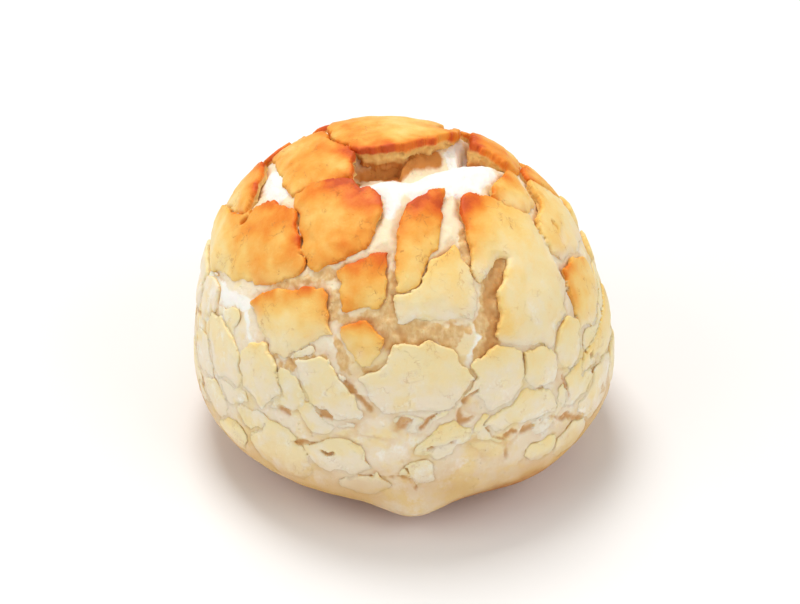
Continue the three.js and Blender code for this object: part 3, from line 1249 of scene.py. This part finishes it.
    def build(self, material: bpy.types.Material) -> bpy.types.Object:
        """Makes the dough.

        Args:
            material: how it is coloured.

        Returns:
            The piece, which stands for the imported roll.
        """
        mesh = ball(self.subdivisions)
        for inside, lowest in self.refinements:
            _, polar, survey = self._measure(vertex_directions(mesh))
            refine(mesh, (survey.edge < inside) & (polar < lowest))
        site = self._site(vertex_directions(mesh))
        rise, lumps = self._relief(site)
        self._dress(mesh, site, lumps)
        move_vertices(mesh, self.form.finished(site.direction, rise) * MM)
        piece = finish_piece(mesh, "dough", material)
        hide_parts(ROLL_NODE)
        return piece


@dataclass
class CrustPlates:
    """The torn plates of crust, one piece for each height band."""

    form: RollForm
    crust_map: CrustMap
    subdivisions: int = 8
    lowest: float = -0.16  # how far down the ball the sheet that the plates are cut from goes
    edge_round: float = 0.45
    curl: float = 0.6  # how far a free edge turns up
    curl_width: float = 1.8
    sink: float = 0.45  # how far a pale bound edge melts in to the dough
    sink_width: float = 0.9
    melt_width: float = 1.6
    melting_bake: Band = (0.6, 0.25)
    evened: float = 40.0  # a plate gets no paler further below its middle than this, in degrees
    low_band: Band = (82.0, 102.0)
    wave_grain: float = 6.0
    ripple_grain: float = 2.6
    patch_grain: float = 4.2
    undulation: float = 0.36
    full_lift: float = 1.7  # a plate that stands out as far as this curls and waves the most
    roughness: float = 0.6
    rim_easing: int = 30
    sag: float = 0.45
    sag_pitch: float = 0.24  # how many lumps of sag there are in a millimetre
    # the layers of lumps on a torn edge, each with its share and how many there are in a millimetre
    crumb_lumps: tuple[tuple[float, float], ...] = ((1.0, 0.5), (0.6, 1.1), (0.25, 2.4))
    refined: float = 0.5  # the sheet is halved this near a thick plate's edge
    fewest_faces: int = 24  # a smaller scrap of crust is dropped

    def _sheet(self) -> bmesh.types.BMesh:
        """Cuts the outlines of all plates from a ball.

        Returns:
            The sheet, with the map's values on its vertices.
        """
        mesh = ball(self.subdivisions)
        bmesh.ops.delete(mesh, geom=[v for v in mesh.verts if v.co.z < self.lowest], context="VERTS")
        survey = self._survey(mesh)
        thick = np.array([p.zone is not Zone.SKIRT for p in self.crust_map.plates])
        refine(mesh, (np.abs(survey.edge) < self.refined) & thick[survey.owner])
        survey = self._survey(mesh)
        edge = set_values(mesh, "edge", survey.edge)
        set_values(mesh, "crownward", survey.crownward)
        cut_at_zero(mesh, edge)
        part_pinched_corners(mesh)
        set_values(mesh, "owner", self._survey(mesh).owner.astype(float))
        return mesh

    def _survey(self, mesh: bmesh.types.BMesh) -> Survey:
        """What the map says at each vertex of a mesh on the ball."""
        return self.crust_map.survey(self.form.points(vertex_directions(mesh)))

    def _keep_zone(self, sheet: bmesh.types.BMesh, zone: Zone) -> bmesh.types.BMesh:
        """Copies one height band's plates.

        Args:
            sheet: all the plates.
            zone: the height band.

        Returns:
            The copy.
        """
        mesh = sheet.copy()
        owner = mesh.verts.layers.float["owner"]
        plates = self.crust_map.plates
        others = [f for f in mesh.faces if plates[round(f.verts[0][owner])].zone is not zone]
        bmesh.ops.delete(mesh, geom=others, context="FACES")
        drop_small_islands(mesh, self.fewest_faces)
        part_pinched_corners(mesh)
        return mesh

    def _facings(self, mesh: bmesh.types.BMesh, direction: np.ndarray, owner: np.ndarray
                 ) -> tuple[np.ndarray, np.ndarray]:
        """How far a place lies towards its plate's free edge, which curls up, and towards its bound edge.

        Args:
            mesh: the sheet.
            direction: the unit vectors towards its vertices.
            owner: their plates' numbers.

        Returns:
            The two shares, from 0 to 1.
        """
        crownward = np.clip(get_values(mesh, "crownward"), -1.0, 1.0)
        front = smooth_step(0.3, 0.08, behind_rift(direction))
        crown = owner == 0
        free = np.where(crown, front, smooth_step(-0.1, 0.9, crownward))
        bound = np.where(crown, 0.0, smooth_step(0.35, -0.85, crownward))
        return free, bound

    def _raise(self, mesh: bmesh.types.BMesh) -> None:
        """Moves the sheet's vertices to the top of the crust and stores how they are baked.

        Args:
            mesh: the sheet, on the ball.
        """
        direction = vertex_directions(mesh)
        points = self.form.points(direction)
        polar = polar_angles(direction)
        owner = get_values(mesh, "owner").round().astype(int)
        plates = self.crust_map.plates
        lift = np.array([p.lift for p in plates])[owner]
        bake = np.array([p.bake for p in plates])[owner]
        middle = np.array([np.mean([corner[1] for corner in p.outline]) for p in plates])[owner]
        edge = np.maximum(get_values(mesh, "edge"), 0.0)
        free, bound = self._facings(mesh, direction, owner)
        round_off = np.maximum(self.edge_round - edge, 0.0)
        drop = self.edge_round - np.sqrt(np.maximum(self.edge_round ** 2 - round_off ** 2, 0.0))
        broad = noise_at(points, self.wave_grain, 9.0)
        small = noise_at(points, self.ripple_grain, 13.0)
        strength = np.clip(lift / self.full_lift, 0.0, 1.0)
        rise = lift * (1 - 0.25 * fade(edge, 2.0)) * (1 - 0.85 * bound * fade(edge, 3.0))
        melt = bound * smooth_step(*self.melting_bake, bake)
        rise = rise - self.sink * melt * fade(edge, self.sink_width)
        rise = rise + self.curl * strength * free * fade(edge, self.curl_width)
        rise = rise + self.undulation * strength * broad + (0.04 + 0.09 * strength) * small
        rise = rise - drop * np.clip(2.0 * strength, 0.15, 1.0) * (1 - melt)
        above = np.maximum(middle - polar, -self.evened)
        patches = noise_at(points, self.patch_grain, 17.0, octaves=2)
        browned = smooth_step(0.2, 0.5, bake)
        baked = bake + 0.006 * above + (0.05 + 0.08 * browned) * patches + 0.03 * small
        for spot in SCORCHES_AND_HIGHLIGHTS:
            away = self.form.away_from(points, spot.azimuth, spot.polar)
            baked = baked + spot.bake * bell(away, spot.spread)
        tip = 1.0 + 0.5 * np.clip(patches, -1.0, 1.0)
        baked = baked + (0.06 + 0.28 * bake) * tip * free * fade(edge, self.curl_width)
        baked = baked + 0.04 * fade(edge, 0.7) * browned - 0.06 * bound * fade(edge, 4.0)
        set_values(mesh, "bake", baked)
        set_values(mesh, "melt", melt * fade(edge - self.sink_width, self.melt_width))
        set_values(mesh, "low", smooth_step(*self.low_band, polar + 3.0 * broad))
        set_values(mesh, "depth", np.zeros(len(baked)))
        move_vertices(mesh, self.form.finished(direction, rise))

    @staticmethod
    def _ease(corners: list[bmesh.types.BMVert], rim: list[bmesh.types.BMEdge], values: np.ndarray,
              rounds: int) -> np.ndarray:
        """Evens out vectors along the rim, so that the crumb under a ragged lip isn't ribbed.

        Args:
            corners: the rim's vertices.
            rim: the rim's edges.
            values: one vector for each corner.
            rounds: how many times each vector moves half way to its neighbours' mean.

        Returns:
            The evened vectors.
        """
        number = {vertex: i for i, vertex in enumerate(corners)}
        ends = np.array([[number[v] for v in e.verts] for e in rim])
        count = np.bincount(ends.ravel(), minlength=len(corners))[:, None]
        for _ in range(rounds):
            total = np.zeros_like(values)
            np.add.at(total, ends[:, 0], values[ends[:, 1]])
            np.add.at(total, ends[:, 1], values[ends[:, 0]])
            values = (values + total / count) / 2
        return values

    @staticmethod
    def _face_out(rim: list[bmesh.types.BMEdge], outward: bmesh.types.BMLayerItem, middle: Vector) -> None:
        """Adds up on each rim vertex the outward directions of its two rim edges.

        Args:
            rim: the rim's edges.
            outward: the layer that holds the sums.
            middle: the middle of the girth.
        """
        for edge in rim:
            first, second = edge.verts
            up = ((first.co + second.co) / 2 - middle).normalized()
            out = (second.co - first.co).cross(up).normalized()
            if out.dot(edge.link_faces[0].calc_center_median() - first.co) > 0:
                out.negate()
            first[outward] += out
            second[outward] += out

    def _hem(self, mesh: bmesh.types.BMesh, torn_edge: TornEdge) -> None:
        """Gives the sheet its torn edge and its underside.

        Args:
            mesh: the raised sheet, in millimetres.
            torn_edge: how the edge goes down.
        """
        vectors = mesh.verts.layers.float_vector
        names = ("start", "outward", "easing")
        for name in names:
            vectors.new(name)
        start, outward, easing = (vectors[name] for name in names)
        depth = mesh.verts.layers.float["depth"]
        middle = Vector((0.0, 0.0, self.form.girth_height))
        rim = [e for e in mesh.edges if e.is_boundary]
        self._face_out(rim, outward, middle)
        corners = list(dict.fromkeys(v for e in rim for v in e.verts))
        places = np.array([v.co[:] for v in corners])
        eased = self._ease(corners, rim, places, self.rim_easing)
        out_eased = self._ease(corners, rim, np.array([v[outward][:] for v in corners]), self.rim_easing)
        for vertex, place, shift, out in zip(corners, places, eased - places, out_eased):
            vertex[start] = place
            vertex[easing] = shift
            vertex[outward] = Vector(out).normalized()
        for out, down in torn_edge.rings():
            grown = bmesh.ops.extrude_edge_only(mesh, edges=rim)["geom"]
            rough = self.roughness * min(0.2 + 0.35 * down, 1.0)
            for vertex in (g for g in grown if isinstance(g, bmesh.types.BMVert)):
                base = Vector(vertex[start]) + Vector(vertex[easing]) * min(down / torn_edge.lip, 1.0)
                sunk = down * (1.0 + self.sag * noise.noise(base * self.sag_pitch))
                place = base + Vector(vertex[outward]) * out - (base - middle).normalized() * sunk
                where = place + Vector((0.0, 0.0, 0.8 * place.z))
                lumps = sum(share * noise.noise(where * grain) for share, grain in self.crumb_lumps)
                vertex.co = place + Vector(vertex[outward]) * rough * lumps
                vertex[depth] = down / torn_edge.lip
            rim = [g for g in grown if isinstance(g, bmesh.types.BMEdge) and g.is_boundary]
        floor = bmesh.ops.holes_fill(mesh, edges=rim, sides=0)["faces"]
        bmesh.ops.triangulate(mesh, faces=floor)
        for name in names:
            vectors.remove(vectors[name])
        bmesh.ops.recalc_face_normals(mesh, faces=mesh.faces)

    def build(self, material: bpy.types.Material) -> list[bpy.types.Object]:
        """Makes the crust.

        Args:
            material: how it is coloured.

        Returns:
            One piece for each height band.
        """
        sheet = self._sheet()
        pieces = []
        for zone in Zone:
            mesh = self._keep_zone(sheet, zone)
            self._raise(mesh)
            self._hem(mesh, zone.value)
            bmesh.ops.scale(mesh, vec=(MM, MM, MM), verts=mesh.verts)
            pieces.append(finish_piece(mesh, f"{zone.name.lower()}_crust", material))
        sheet.free()
        return pieces


# --- finishes ------------------------------------------------------------------------------------------


Colour = tuple[float, float, float]  # red, green and blue from 0 to 255, as the eye sees them


def srgb(red: float, green: float, blue: float) -> tuple[float, float, float, float]:
    """A colour as a shader takes it.

    Args:
        red: from 0 to 255, as the eye sees it, like the two others.
        green: the second channel.
        blue: the third channel.

    Returns:
        The linear colour, opaque.
    """
    parts = [channel / 255 for channel in (red, green, blue)]
    linear = [c / 12.92 if c <= 0.04045 else ((c + 0.055) / 1.055) ** 2.4 for c in parts]
    return (*linear, 1.0)


@dataclass
class Graph:
    """A node tree being built. An input is a plain value, or the socket that it comes from."""

    tree: bpy.types.NodeTree

    def node(self, kind: str, *inputs: object, **settings: object) -> bpy.types.Node:
        """Adds a node.

        Args:
            kind: the node's type, without the ShaderNode in front.
            *inputs: what its first input sockets are given.
            **settings: plain settings of the node by their names.

        Returns:
            The node.
        """
        made = self.tree.nodes.new(f"ShaderNode{kind}")
        for name, value in settings.items():
            setattr(made, name, value)
        for socket, value in zip(made.inputs, inputs):
            self.feed(socket, value)
        return made

    def feed(self, socket: bpy.types.NodeSocket, value: object) -> None:
        """Links or sets one input socket.

        Args:
            socket: the input socket.
            value: what it is given.
        """
        if isinstance(value, bpy.types.NodeSocket):
            self.tree.links.new(value, socket)
        else:
            socket.default_value = value

    def math(self, operation: str, first: object, second: object = 0.0) -> bpy.types.NodeSocket:
        """A Math node's result."""
        return self.node("Math", first, second, operation=operation).outputs[0]

    def plus(self, first: object, second: object) -> bpy.types.NodeSocket:
        """The sum of two numbers."""
        return self.math("ADD", first, second)

    def times(self, first: object, second: object) -> bpy.types.NodeSocket:
        """The product of two numbers."""
        return self.math("MULTIPLY", first, second)

    def span(self, value: object, low: float, high: float, to_low: float = 0.0, to_high: float = 1.0
             ) -> bpy.types.NodeSocket:
        """A value taken softly from one range to another and held there."""
        return self.node("MapRange", value, low, high, to_low, to_high,
                         interpolation_type="SMOOTHSTEP").outputs[0]

    def cover(self, below: object, share: object, above: object) -> bpy.types.NodeSocket:
        """Covers one colour with a share of another.

        Args:
            below: the colour that is covered.
            share: how much of the other is laid on it, from 0 to 1.
            above: the other, as a Colour or a socket.

        Returns:
            The colour made.
        """
        made = self.node("Mix", share, data_type="RGBA")
        colours = [socket for socket in made.inputs if socket.type == "RGBA"]
        for socket, colour in zip(colours, (below, above)):
            self.feed(socket, srgb(*colour) if isinstance(colour, tuple) else colour)
        return next(socket for socket in made.outputs if socket.type == "RGBA")

    def layered(self, colour: object, layers: tuple[tuple[object, object], ...]) -> bpy.types.NodeSocket:
        """Lays several colours over one.

        Args:
            colour: the lowest colour.
            layers: how much of each further colour is laid on, and the colour.

        Returns:
            The colour made.
        """
        for share, above in layers:
            colour = self.cover(colour, share, above)
        return colour

    def noise(self, place: object, grain: float, detail: float = 3.0, roughness: float = 0.6
              ) -> bpy.types.NodeSocket:
        """Noise from 0 to 1.

        Args:
            place: where it is read.
            grain: the size of its lumps in millimetres.
            detail: how many finer layers are added.
            roughness: how strong each is beside the last.

        Returns:
            The noise.
        """
        made = self.node("TexNoise", place)
        made.inputs["Scale"].default_value = 1.0 / (grain * MM)
        made.inputs["Detail"].default_value = detail
        made.inputs["Roughness"].default_value = roughness
        return made.outputs[0]

    def cells(self, place: object, grain: float) -> bpy.types.NodeSocket:
        """Distance from the nearest point of a scatter.

        Args:
            place: where it is read.
            grain: how far apart the points are, in millimetres.

        Returns:
            The distance, as a share of the grain.
        """
        made = self.node("TexVoronoi", place, feature="F1")
        made.inputs["Scale"].default_value = 1.0 / (grain * MM)
        return made.outputs["Distance"]

    def value(self, name: str) -> bpy.types.NodeSocket:
        """A number stored on the mesh's vertices."""
        return self.node("Attribute", attribute_name=name).outputs["Fac"]

    def uneven_value(self, name: str, uneven: object, strength: float) -> bpy.types.NodeSocket:
        """A number stored on the mesh's vertices, made uneven by a noise."""
        return self.plus(self.value(name), self.times(uneven, strength))

    def ramp(self, value: object, stops: tuple[tuple[float, Colour], ...]) -> bpy.types.NodeSocket:
        """A colour ramp.

        Args:
            value: where on the ramp.
            stops: positions, each with its colour.

        Returns:
            The colour.
        """
        made = self.node("ValToRGB", value)
        elements = made.color_ramp.elements
        while len(elements) > 1:
            elements.remove(elements[-1])
        for number, (position, colour) in enumerate(stops):
            element = elements[0] if number == 0 else elements.new(position)
            element.position = position
            element.color = srgb(*colour)
        return made.outputs[0]

    def bump(self, height: object, strength: float, depth: float) -> bpy.types.NodeSocket:
        """Fine relief.

        Args:
            height: how high the surface stands, from 0 to 1.
            strength: how much of the relief shows.
            depth: how deep it is, in millimetres.

        Returns:
            The normal.
        """
        made = self.node("Bump")
        made.inputs["Strength"].default_value = strength
        made.inputs["Distance"].default_value = depth * MM
        self.feed(made.inputs["Height"], height)
        return made.outputs["Normal"]


class SharedLook(ABC):
    """An effect that materials share: a node group that is built once and reads at least a place."""

    label: ClassVar[str]
    inputs: ClassVar[dict[str, str]]
    outputs: ClassVar[dict[str, str]]

    @abstractmethod
    def draw(self, graph: Graph, given: bpy.types.NodeOutputs) -> dict[str, bpy.types.NodeSocket]:
        """Builds the effect inside its group.

        Args:
            graph: the group's graph.
            given: the sockets of the group's inputs.

        Returns:
            The socket that each output takes.
        """

    def group(self) -> bpy.types.NodeTree:
        """The node group, built the first time.

        Returns:
            The group.
        """
        if self.label in bpy.data.node_groups:
            return bpy.data.node_groups[self.label]
        tree = bpy.data.node_groups.new(self.label, "ShaderNodeTree")
        for way, sockets in (("INPUT", self.inputs), ("OUTPUT", self.outputs)):
            for name, kind in sockets.items():
                tree.interface.new_socket(name, in_out=way, socket_type=f"NodeSocket{kind}")
        graph = Graph(tree)
        made = self.draw(graph, tree.nodes.new("NodeGroupInput").outputs)
        end = tree.nodes.new("NodeGroupOutput")
        for name, socket in made.items():
            graph.feed(end.inputs[name], socket)
        return tree

    def place_in(self, graph: Graph, *given: object) -> bpy.types.NodeOutputs:
        """Puts the group in a material.

        Args:
            graph: the material's graph.
            *given: what the group's inputs are given, in their order.

        Returns:
            The group's outputs.
        """
        made = graph.node("Group", node_tree=self.group())
        for socket, value in zip(made.inputs, given):
            graph.feed(socket, value)
        return made.outputs


@dataclass(frozen=True)
class Grain(SharedLook):
    """The fine relief of baked paste and of crumb: a grain, and pores sunk in it."""

    label: ClassVar[str] = "baked_grain"
    inputs: ClassVar[dict[str, str]] = {"Place": "Vector", "Pores": "Float"}
    outputs: ClassVar[dict[str, str]] = {"Height": "Float", "Mottle": "Float"}
    grain: float = 0.55
    lump: float = 2.4
    pore: float = 1.1
    pore_patch: float = 3.1

    def draw(self, graph: Graph, given: bpy.types.NodeOutputs) -> dict[str, bpy.types.NodeSocket]:
        """Builds the grain.

        Args:
            graph: the group's graph.
            given: the place, and how many pores show.

        Returns:
            The height of the relief, and a mottle of about 0 to 1 that follows it.
        """
        place = given["Place"]
        fine = graph.noise(place, self.grain, 4.0, 0.65)
        lumps = graph.times(graph.noise(place, self.lump), 0.6)
        pores = graph.span(graph.cells(place, self.pore), 0.0, 0.34, 1.0, 0.0)
        sparse = graph.span(graph.noise(place, self.pore_patch, 2.0), 0.5, 0.62)
        sunk = graph.times(graph.times(pores, sparse), given["Pores"])
        height = graph.math("SUBTRACT", graph.plus(graph.times(fine, 0.7), lumps), sunk)
        return {"Height": height, "Mottle": graph.plus(graph.times(fine, 0.4), lumps)}


@dataclass(frozen=True)
class Skin(SharedLook):
    """The colour of the pale skin: cream and yellow patches dusted with flour, golden towards the base."""

    label: ClassVar[str] = "pale_skin"
    inputs: ClassVar[dict[str, str]] = {"Place": "Vector", "Low": "Float"}
    outputs: ClassVar[dict[str, str]] = {"Color": "Color"}
    yellow_patch: float = 8.0
    flour_patch: float = 5.0
    cream: Colour = (244, 229, 203)
    yellow: Colour = (245, 223, 170)
    dusted: Colour = (251, 245, 232)
    golden: Colour = (212, 168, 100)

    def draw(self, graph: Graph, given: bpy.types.NodeOutputs) -> dict[str, bpy.types.NodeSocket]:
        """Builds the skin's colour.

        Args:
            graph: the group's graph.
            given: the place, and how golden it is so low on the roll.

        Returns:
            The colour.
        """
        place = given["Place"]
        yellowed = graph.span(graph.noise(place, self.yellow_patch, 3.0, 0.65), 0.44, 0.62)
        dusty = graph.span(graph.noise(place, self.flour_patch, 4.0, 0.7), 0.52, 0.7)
        colour = graph.cover(self.cream, yellowed, self.yellow)
        colour = graph.cover(colour, graph.times(dusty, 0.8), self.dusted)
        return {"Color": graph.cover(colour, given["Low"], self.golden)}


@dataclass(frozen=True)
class HairCracks(SharedLook):
    """Hair cracks in baked paste: two sets of wandering contour lines of a noise, each only in patches."""

    label: ClassVar[str] = "hair_cracks"
    inputs: ClassVar[dict[str, str]] = {"Place": "Vector"}
    outputs: ClassVar[dict[str, str]] = {"Line": "Float"}
    spacings: tuple[float, float] = (9.0, 5.4)
    patches: tuple[float, float] = (7.0, 5.0)
    width: float = 0.007

    def draw(self, graph: Graph, given: bpy.types.NodeOutputs) -> dict[str, bpy.types.NodeSocket]:
        """Builds the cracks.

        Args:
            graph: the group's graph.
            given: the place.

        Returns:
            How far the place lies in a crack, from 0 to 1.
        """
        place = given["Place"]
        lines = []
        for spacing, patch in zip(self.spacings, self.patches):
            height = graph.math("SUBTRACT", graph.noise(place, spacing, 5.0, 0.55), 0.5)
            line = graph.span(graph.math("ABSOLUTE", height), 0.0, self.width, 1.0, 0.0)
            lines.append(graph.times(line, graph.span(graph.noise(place, patch, 1.0), 0.54, 0.62)))
        return {"Line": graph.math("MAXIMUM", *lines)}


@dataclass
class Finish:
    """A material being built: its graph, its Principled shader and the place on the object.

    The fields say how matt it is where nothing else does, and how much light goes in and comes out again.
    """

    name: str
    roughness: float
    subsurface: float

    def __post_init__(self) -> None:
        """Starts the material."""
        self.material = bpy.data.materials.new(self.name)
        self.material.use_nodes = True
        self.graph = Graph(self.material.node_tree)
        self.place = self.graph.node("TexCoord").outputs["Object"]
        self.set("Roughness", self.roughness)
        self.set("Subsurface Weight", self.subsurface)
        self.set("Subsurface Radius", (1.0, 0.55, 0.28))
        self.set("Subsurface Scale", 2.2 * MM)
        self.set("Specular IOR Level", 0.3)

    def set(self, name: str, value: object) -> None:
        """Links or sets one input of the shader."""
        self.graph.feed(self.material.node_tree.nodes["Principled BSDF"].inputs[name], value)


@dataclass(frozen=True)
class CrustFinish:
    """Baked paste: cream where it stayed pale, through gold and orange to red-brown lips."""

    stops: tuple[tuple[float, Colour], ...] = (
        (0.0, (244, 231, 200)), (0.16, (247, 227, 176)), (0.34, (250, 215, 138)), (0.5, (249, 197, 104)),
        (0.66, (245, 168, 68)), (0.8, (238, 136, 38)), (0.93, (226, 104, 28)), (1.0, (206, 84, 28)))
    # the torn crumb's own colour, and also painted warm shade on the thin edges of pale plates
    torn_side_and_shade_tan: Colour = (246, 202, 124)
    # painted shade over brown crumb, at the foot of a torn wall
    wall_foot_shade: Colour = (206, 132, 62)
    crack: Colour = (196, 116, 52)

    def material(self) -> bpy.types.Material:
        """Makes the crust's material.

        Returns:
            The material.
        """
        finish = Finish("baked_crust", 0.55, 0.2)
        graph, place = finish.graph, finish.place
        grain = Grain().place_in(graph, place, 0.8)
        mottle = graph.math("SUBTRACT", grain["Mottle"], 0.5)
        tone = graph.uneven_value("bake", mottle, 0.28)
        depth = graph.uneven_value("depth", mottle, 0.5)
        browned = graph.span(graph.value("bake"), 0.15, 0.55)
        pale = graph.math("MAXIMUM", graph.span(tone, 0.18, 0.0), graph.value("melt"))
        line = HairCracks().place_in(graph, place)["Line"]
        side = graph.times(graph.span(depth, 0.5, 1.0), graph.span(browned, 0.0, 1.0, 0.75, 0.95))
        colour = graph.layered(graph.ramp(tone, self.stops), (
            (pale, Skin().place_in(graph, place, graph.value("low"))["Color"]),
            (graph.times(line, graph.span(browned, 0.0, 1.0, 0.2, 0.6)), self.crack),
            # tan where the thin edges of pale plates dip into the dough: painted warm shade
            (graph.times(pale, graph.span(depth, 0.08, 0.4, 0.0, 0.7)), self.torn_side_and_shade_tan),
            (side, self.torn_side_and_shade_tan),
            # brown at the foot of a torn wall: painted shade over brown crumb
            (graph.span(depth, 1.5, 2.4), self.wall_foot_shade)))
        finish.set("Base Color", colour)
        finish.set("Roughness", graph.span(grain["Mottle"], 0.3, 0.8, 0.48, 0.66))
        finish.set("Normal", graph.bump(graph.math("SUBTRACT", grain["Height"], line), 0.5, 0.25))
        return finish.material


@dataclass(frozen=True)
class DoughFinish:
    """Bare dough: white with flour in the rifts, tan where a crack is narrow, brown on the sole, with
    painted shade in the creases and under the crown plate.
    """

    white: Colour = (254, 250, 240)
    cream: Colour = (250, 232, 198)
    tan: Colour = (222, 180, 120)
    fibre: Colour = (236, 206, 154)
    # painted shade in the creases beside the plates and in the slits, and browned crumb
    crease_shade_brown: Colour = (206, 148, 84)
    # painted shade under the crown plate's overhang, and the golden crumb of the ledges
    shade_and_ledge_gold: Colour = (206, 134, 64)
    sole_brown: Colour = (178, 112, 56)
    sole_gold: Colour = (208, 150, 88)
    fibre_width: float = 1.1
    fibre_draw: tuple[float, float, float] = (1.0, 1.0, 0.4)  # under 1 draws the fibres out
    sole_patch: float = 9.0

    def material(self) -> bpy.types.Material:
        """Makes the dough's material.

        Returns:
            The material.
        """
        finish = Finish("bare_dough", 0.75, 0.3)
        graph, place = finish.graph, finish.place
        grain = Grain().place_in(graph, place, 1.0)
        uneven = graph.math("SUBTRACT", grain["Mottle"], 0.5)
        floury = graph.span(graph.uneven_value("flour", uneven, 1.2), 0.3, 0.9)
        drawn_out = graph.node("VectorMath", place, self.fibre_draw, operation="MULTIPLY").outputs[0]
        fibres = graph.span(graph.noise(drawn_out, self.fibre_width, 4.0), 0.36, 0.7)
        patches = graph.span(graph.noise(place, self.sole_patch, 5.0, 0.65), 0.4, 0.66)
        unfloured = graph.span(floury, 0.0, 1.0, 0.9, 0.1)
        skin = Skin().place_in(graph, place, graph.value("low"))["Color"]
        colour = graph.layered(skin, (
            (graph.value("upper"), self.cream),
            (floury, self.white),
            (graph.span(graph.uneven_value("toast", uneven, 0.9), 0.15, 0.9),
             graph.cover(self.tan, fibres, self.fibre)),
            (graph.times(graph.value("crevice"), unfloured), self.crease_shade_brown),
            (graph.times(graph.value("web"), 0.5), self.tan),
            (graph.span(graph.uneven_value("recess", uneven, 0.5), 0.15, 0.7), self.shade_and_ledge_gold),
            (graph.span(graph.uneven_value("sole", uneven, 0.5), 0.1, 0.9),
             graph.cover(self.sole_brown, patches, self.sole_gold))))
        finish.set("Base Color", colour)
        finish.set("Roughness", graph.span(grain["Mottle"], 0.3, 0.8, 0.7, 0.9))
        finish.set("Normal", graph.bump(grain["Height"], 0.6, 0.3))
        return finish.material


# --- studio --------------------------------------------------------------------------------------------


def aim(thing: bpy.types.Object, target: Vector, azimuth: float, elevation: float, distance: float
        ) -> None:
    """Places a lamp or a camera round a target and turns it towards that.

    Args:
        thing: the lamp or the camera.
        target: what it looks at, in metres.
        azimuth: the side it stands on.
        elevation: its angle above the level.
        distance: how far away it is, in metres.
    """
    away = Vector(direction_to(azimuth, 90.0 - elevation))
    thing.location = target + away * distance
    thing.rotation_euler = (-away).to_track_quat("-Z", "Y").to_euler()


@dataclass(frozen=True)
class Lamp:
    """A soft square lamp aimed at the roll, placed by its azimuth, its height angle and its distance."""

    name: str
    azimuth: float
    elevation: float
    distance: float
    side: float
    watts: float

    def switch_on(self, target: Vector) -> None:
        """Adds the lamp to the scene.

        Args:
            target: where it is aimed.
        """
        lamp = link_object(self.name, bpy.data.lights.new(self.name, "AREA"))
        lamp.data.energy = self.watts
        lamp.data.size = self.side
        aim(lamp, target, self.azimuth, self.elevation, self.distance)


@dataclass(frozen=True)
class Studio:
    """A white floor, soft light and the camera."""

    elevation: float = 36.0
    distance: float = 0.55
    lens: float = 108.0
    aim_height: float = 0.031
    floor_side: float = 6.0
    world_strength: float = 0.40
    lamps: tuple[Lamp, ...] = (
        Lamp("key", -160.0, 66.0, 0.9, 0.4, 5.0),
        Lamp("left_fill", -64.0, 36.0, 1.2, 0.8, 3.7),
        Lamp("right_fill", 60.0, 36.0, 1.2, 0.8, 4.3),
    )
    floor_white: Colour = (246, 244, 242)
    daylight: tuple[float, float, float, float] = (1.0, 0.99, 0.97, 1.0)

    def build(self) -> None:
        """Sets up the floor, the lights and the camera."""
        scene = bpy.context.scene
        scene.view_settings.view_transform = "Standard"
        mesh = bmesh.new()
        bmesh.ops.create_grid(mesh, x_segments=1, y_segments=1, size=self.floor_side / 2)
        finish = Finish("white_floor", 0.9, 0.0)
        finish.set("Base Color", srgb(*self.floor_white))
        mesh_object(mesh, "floor", finish.material)
        target = Vector((0.0, 0.0, self.aim_height))
        for lamp in self.lamps:
            lamp.switch_on(target)
        scene.world = bpy.data.worlds.new("room")
        scene.world.use_nodes = True
        background = scene.world.node_tree.nodes["Background"]
        background.inputs["Color"].default_value = self.daylight
        background.inputs["Strength"].default_value = self.world_strength
        scene.camera = link_object("camera", bpy.data.cameras.new("camera"))
        scene.camera.data.lens = self.lens
        aim(scene.camera, target, 0.0, self.elevation, self.distance)


def main() -> None:
    """Builds the roll in its frame and lights it."""
    logging.basicConfig(level=logging.INFO, format="%(name)s %(message)s")
    noise.seed_set(NOISE_SEED)
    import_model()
    Studio().build()
    form = RollForm.filling(*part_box(ROLL_NODE))
    crust_map = CrustMap(form)
    LOG.info("form %s, crust map: %d plates, %d slits", form, len(crust_map.plates), len(crust_map.slits))
    pieces = [Dough(form, crust_map).build(DoughFinish().material())]
    pieces += CrustPlates(form, crust_map).build(CrustFinish().material())
    for piece in pieces:
        data = piece.data
        LOG.info("%s: %d vertices, %d faces", piece.name, len(data.vertices), len(data.polygons))


if __name__ == "__main__":
    main()
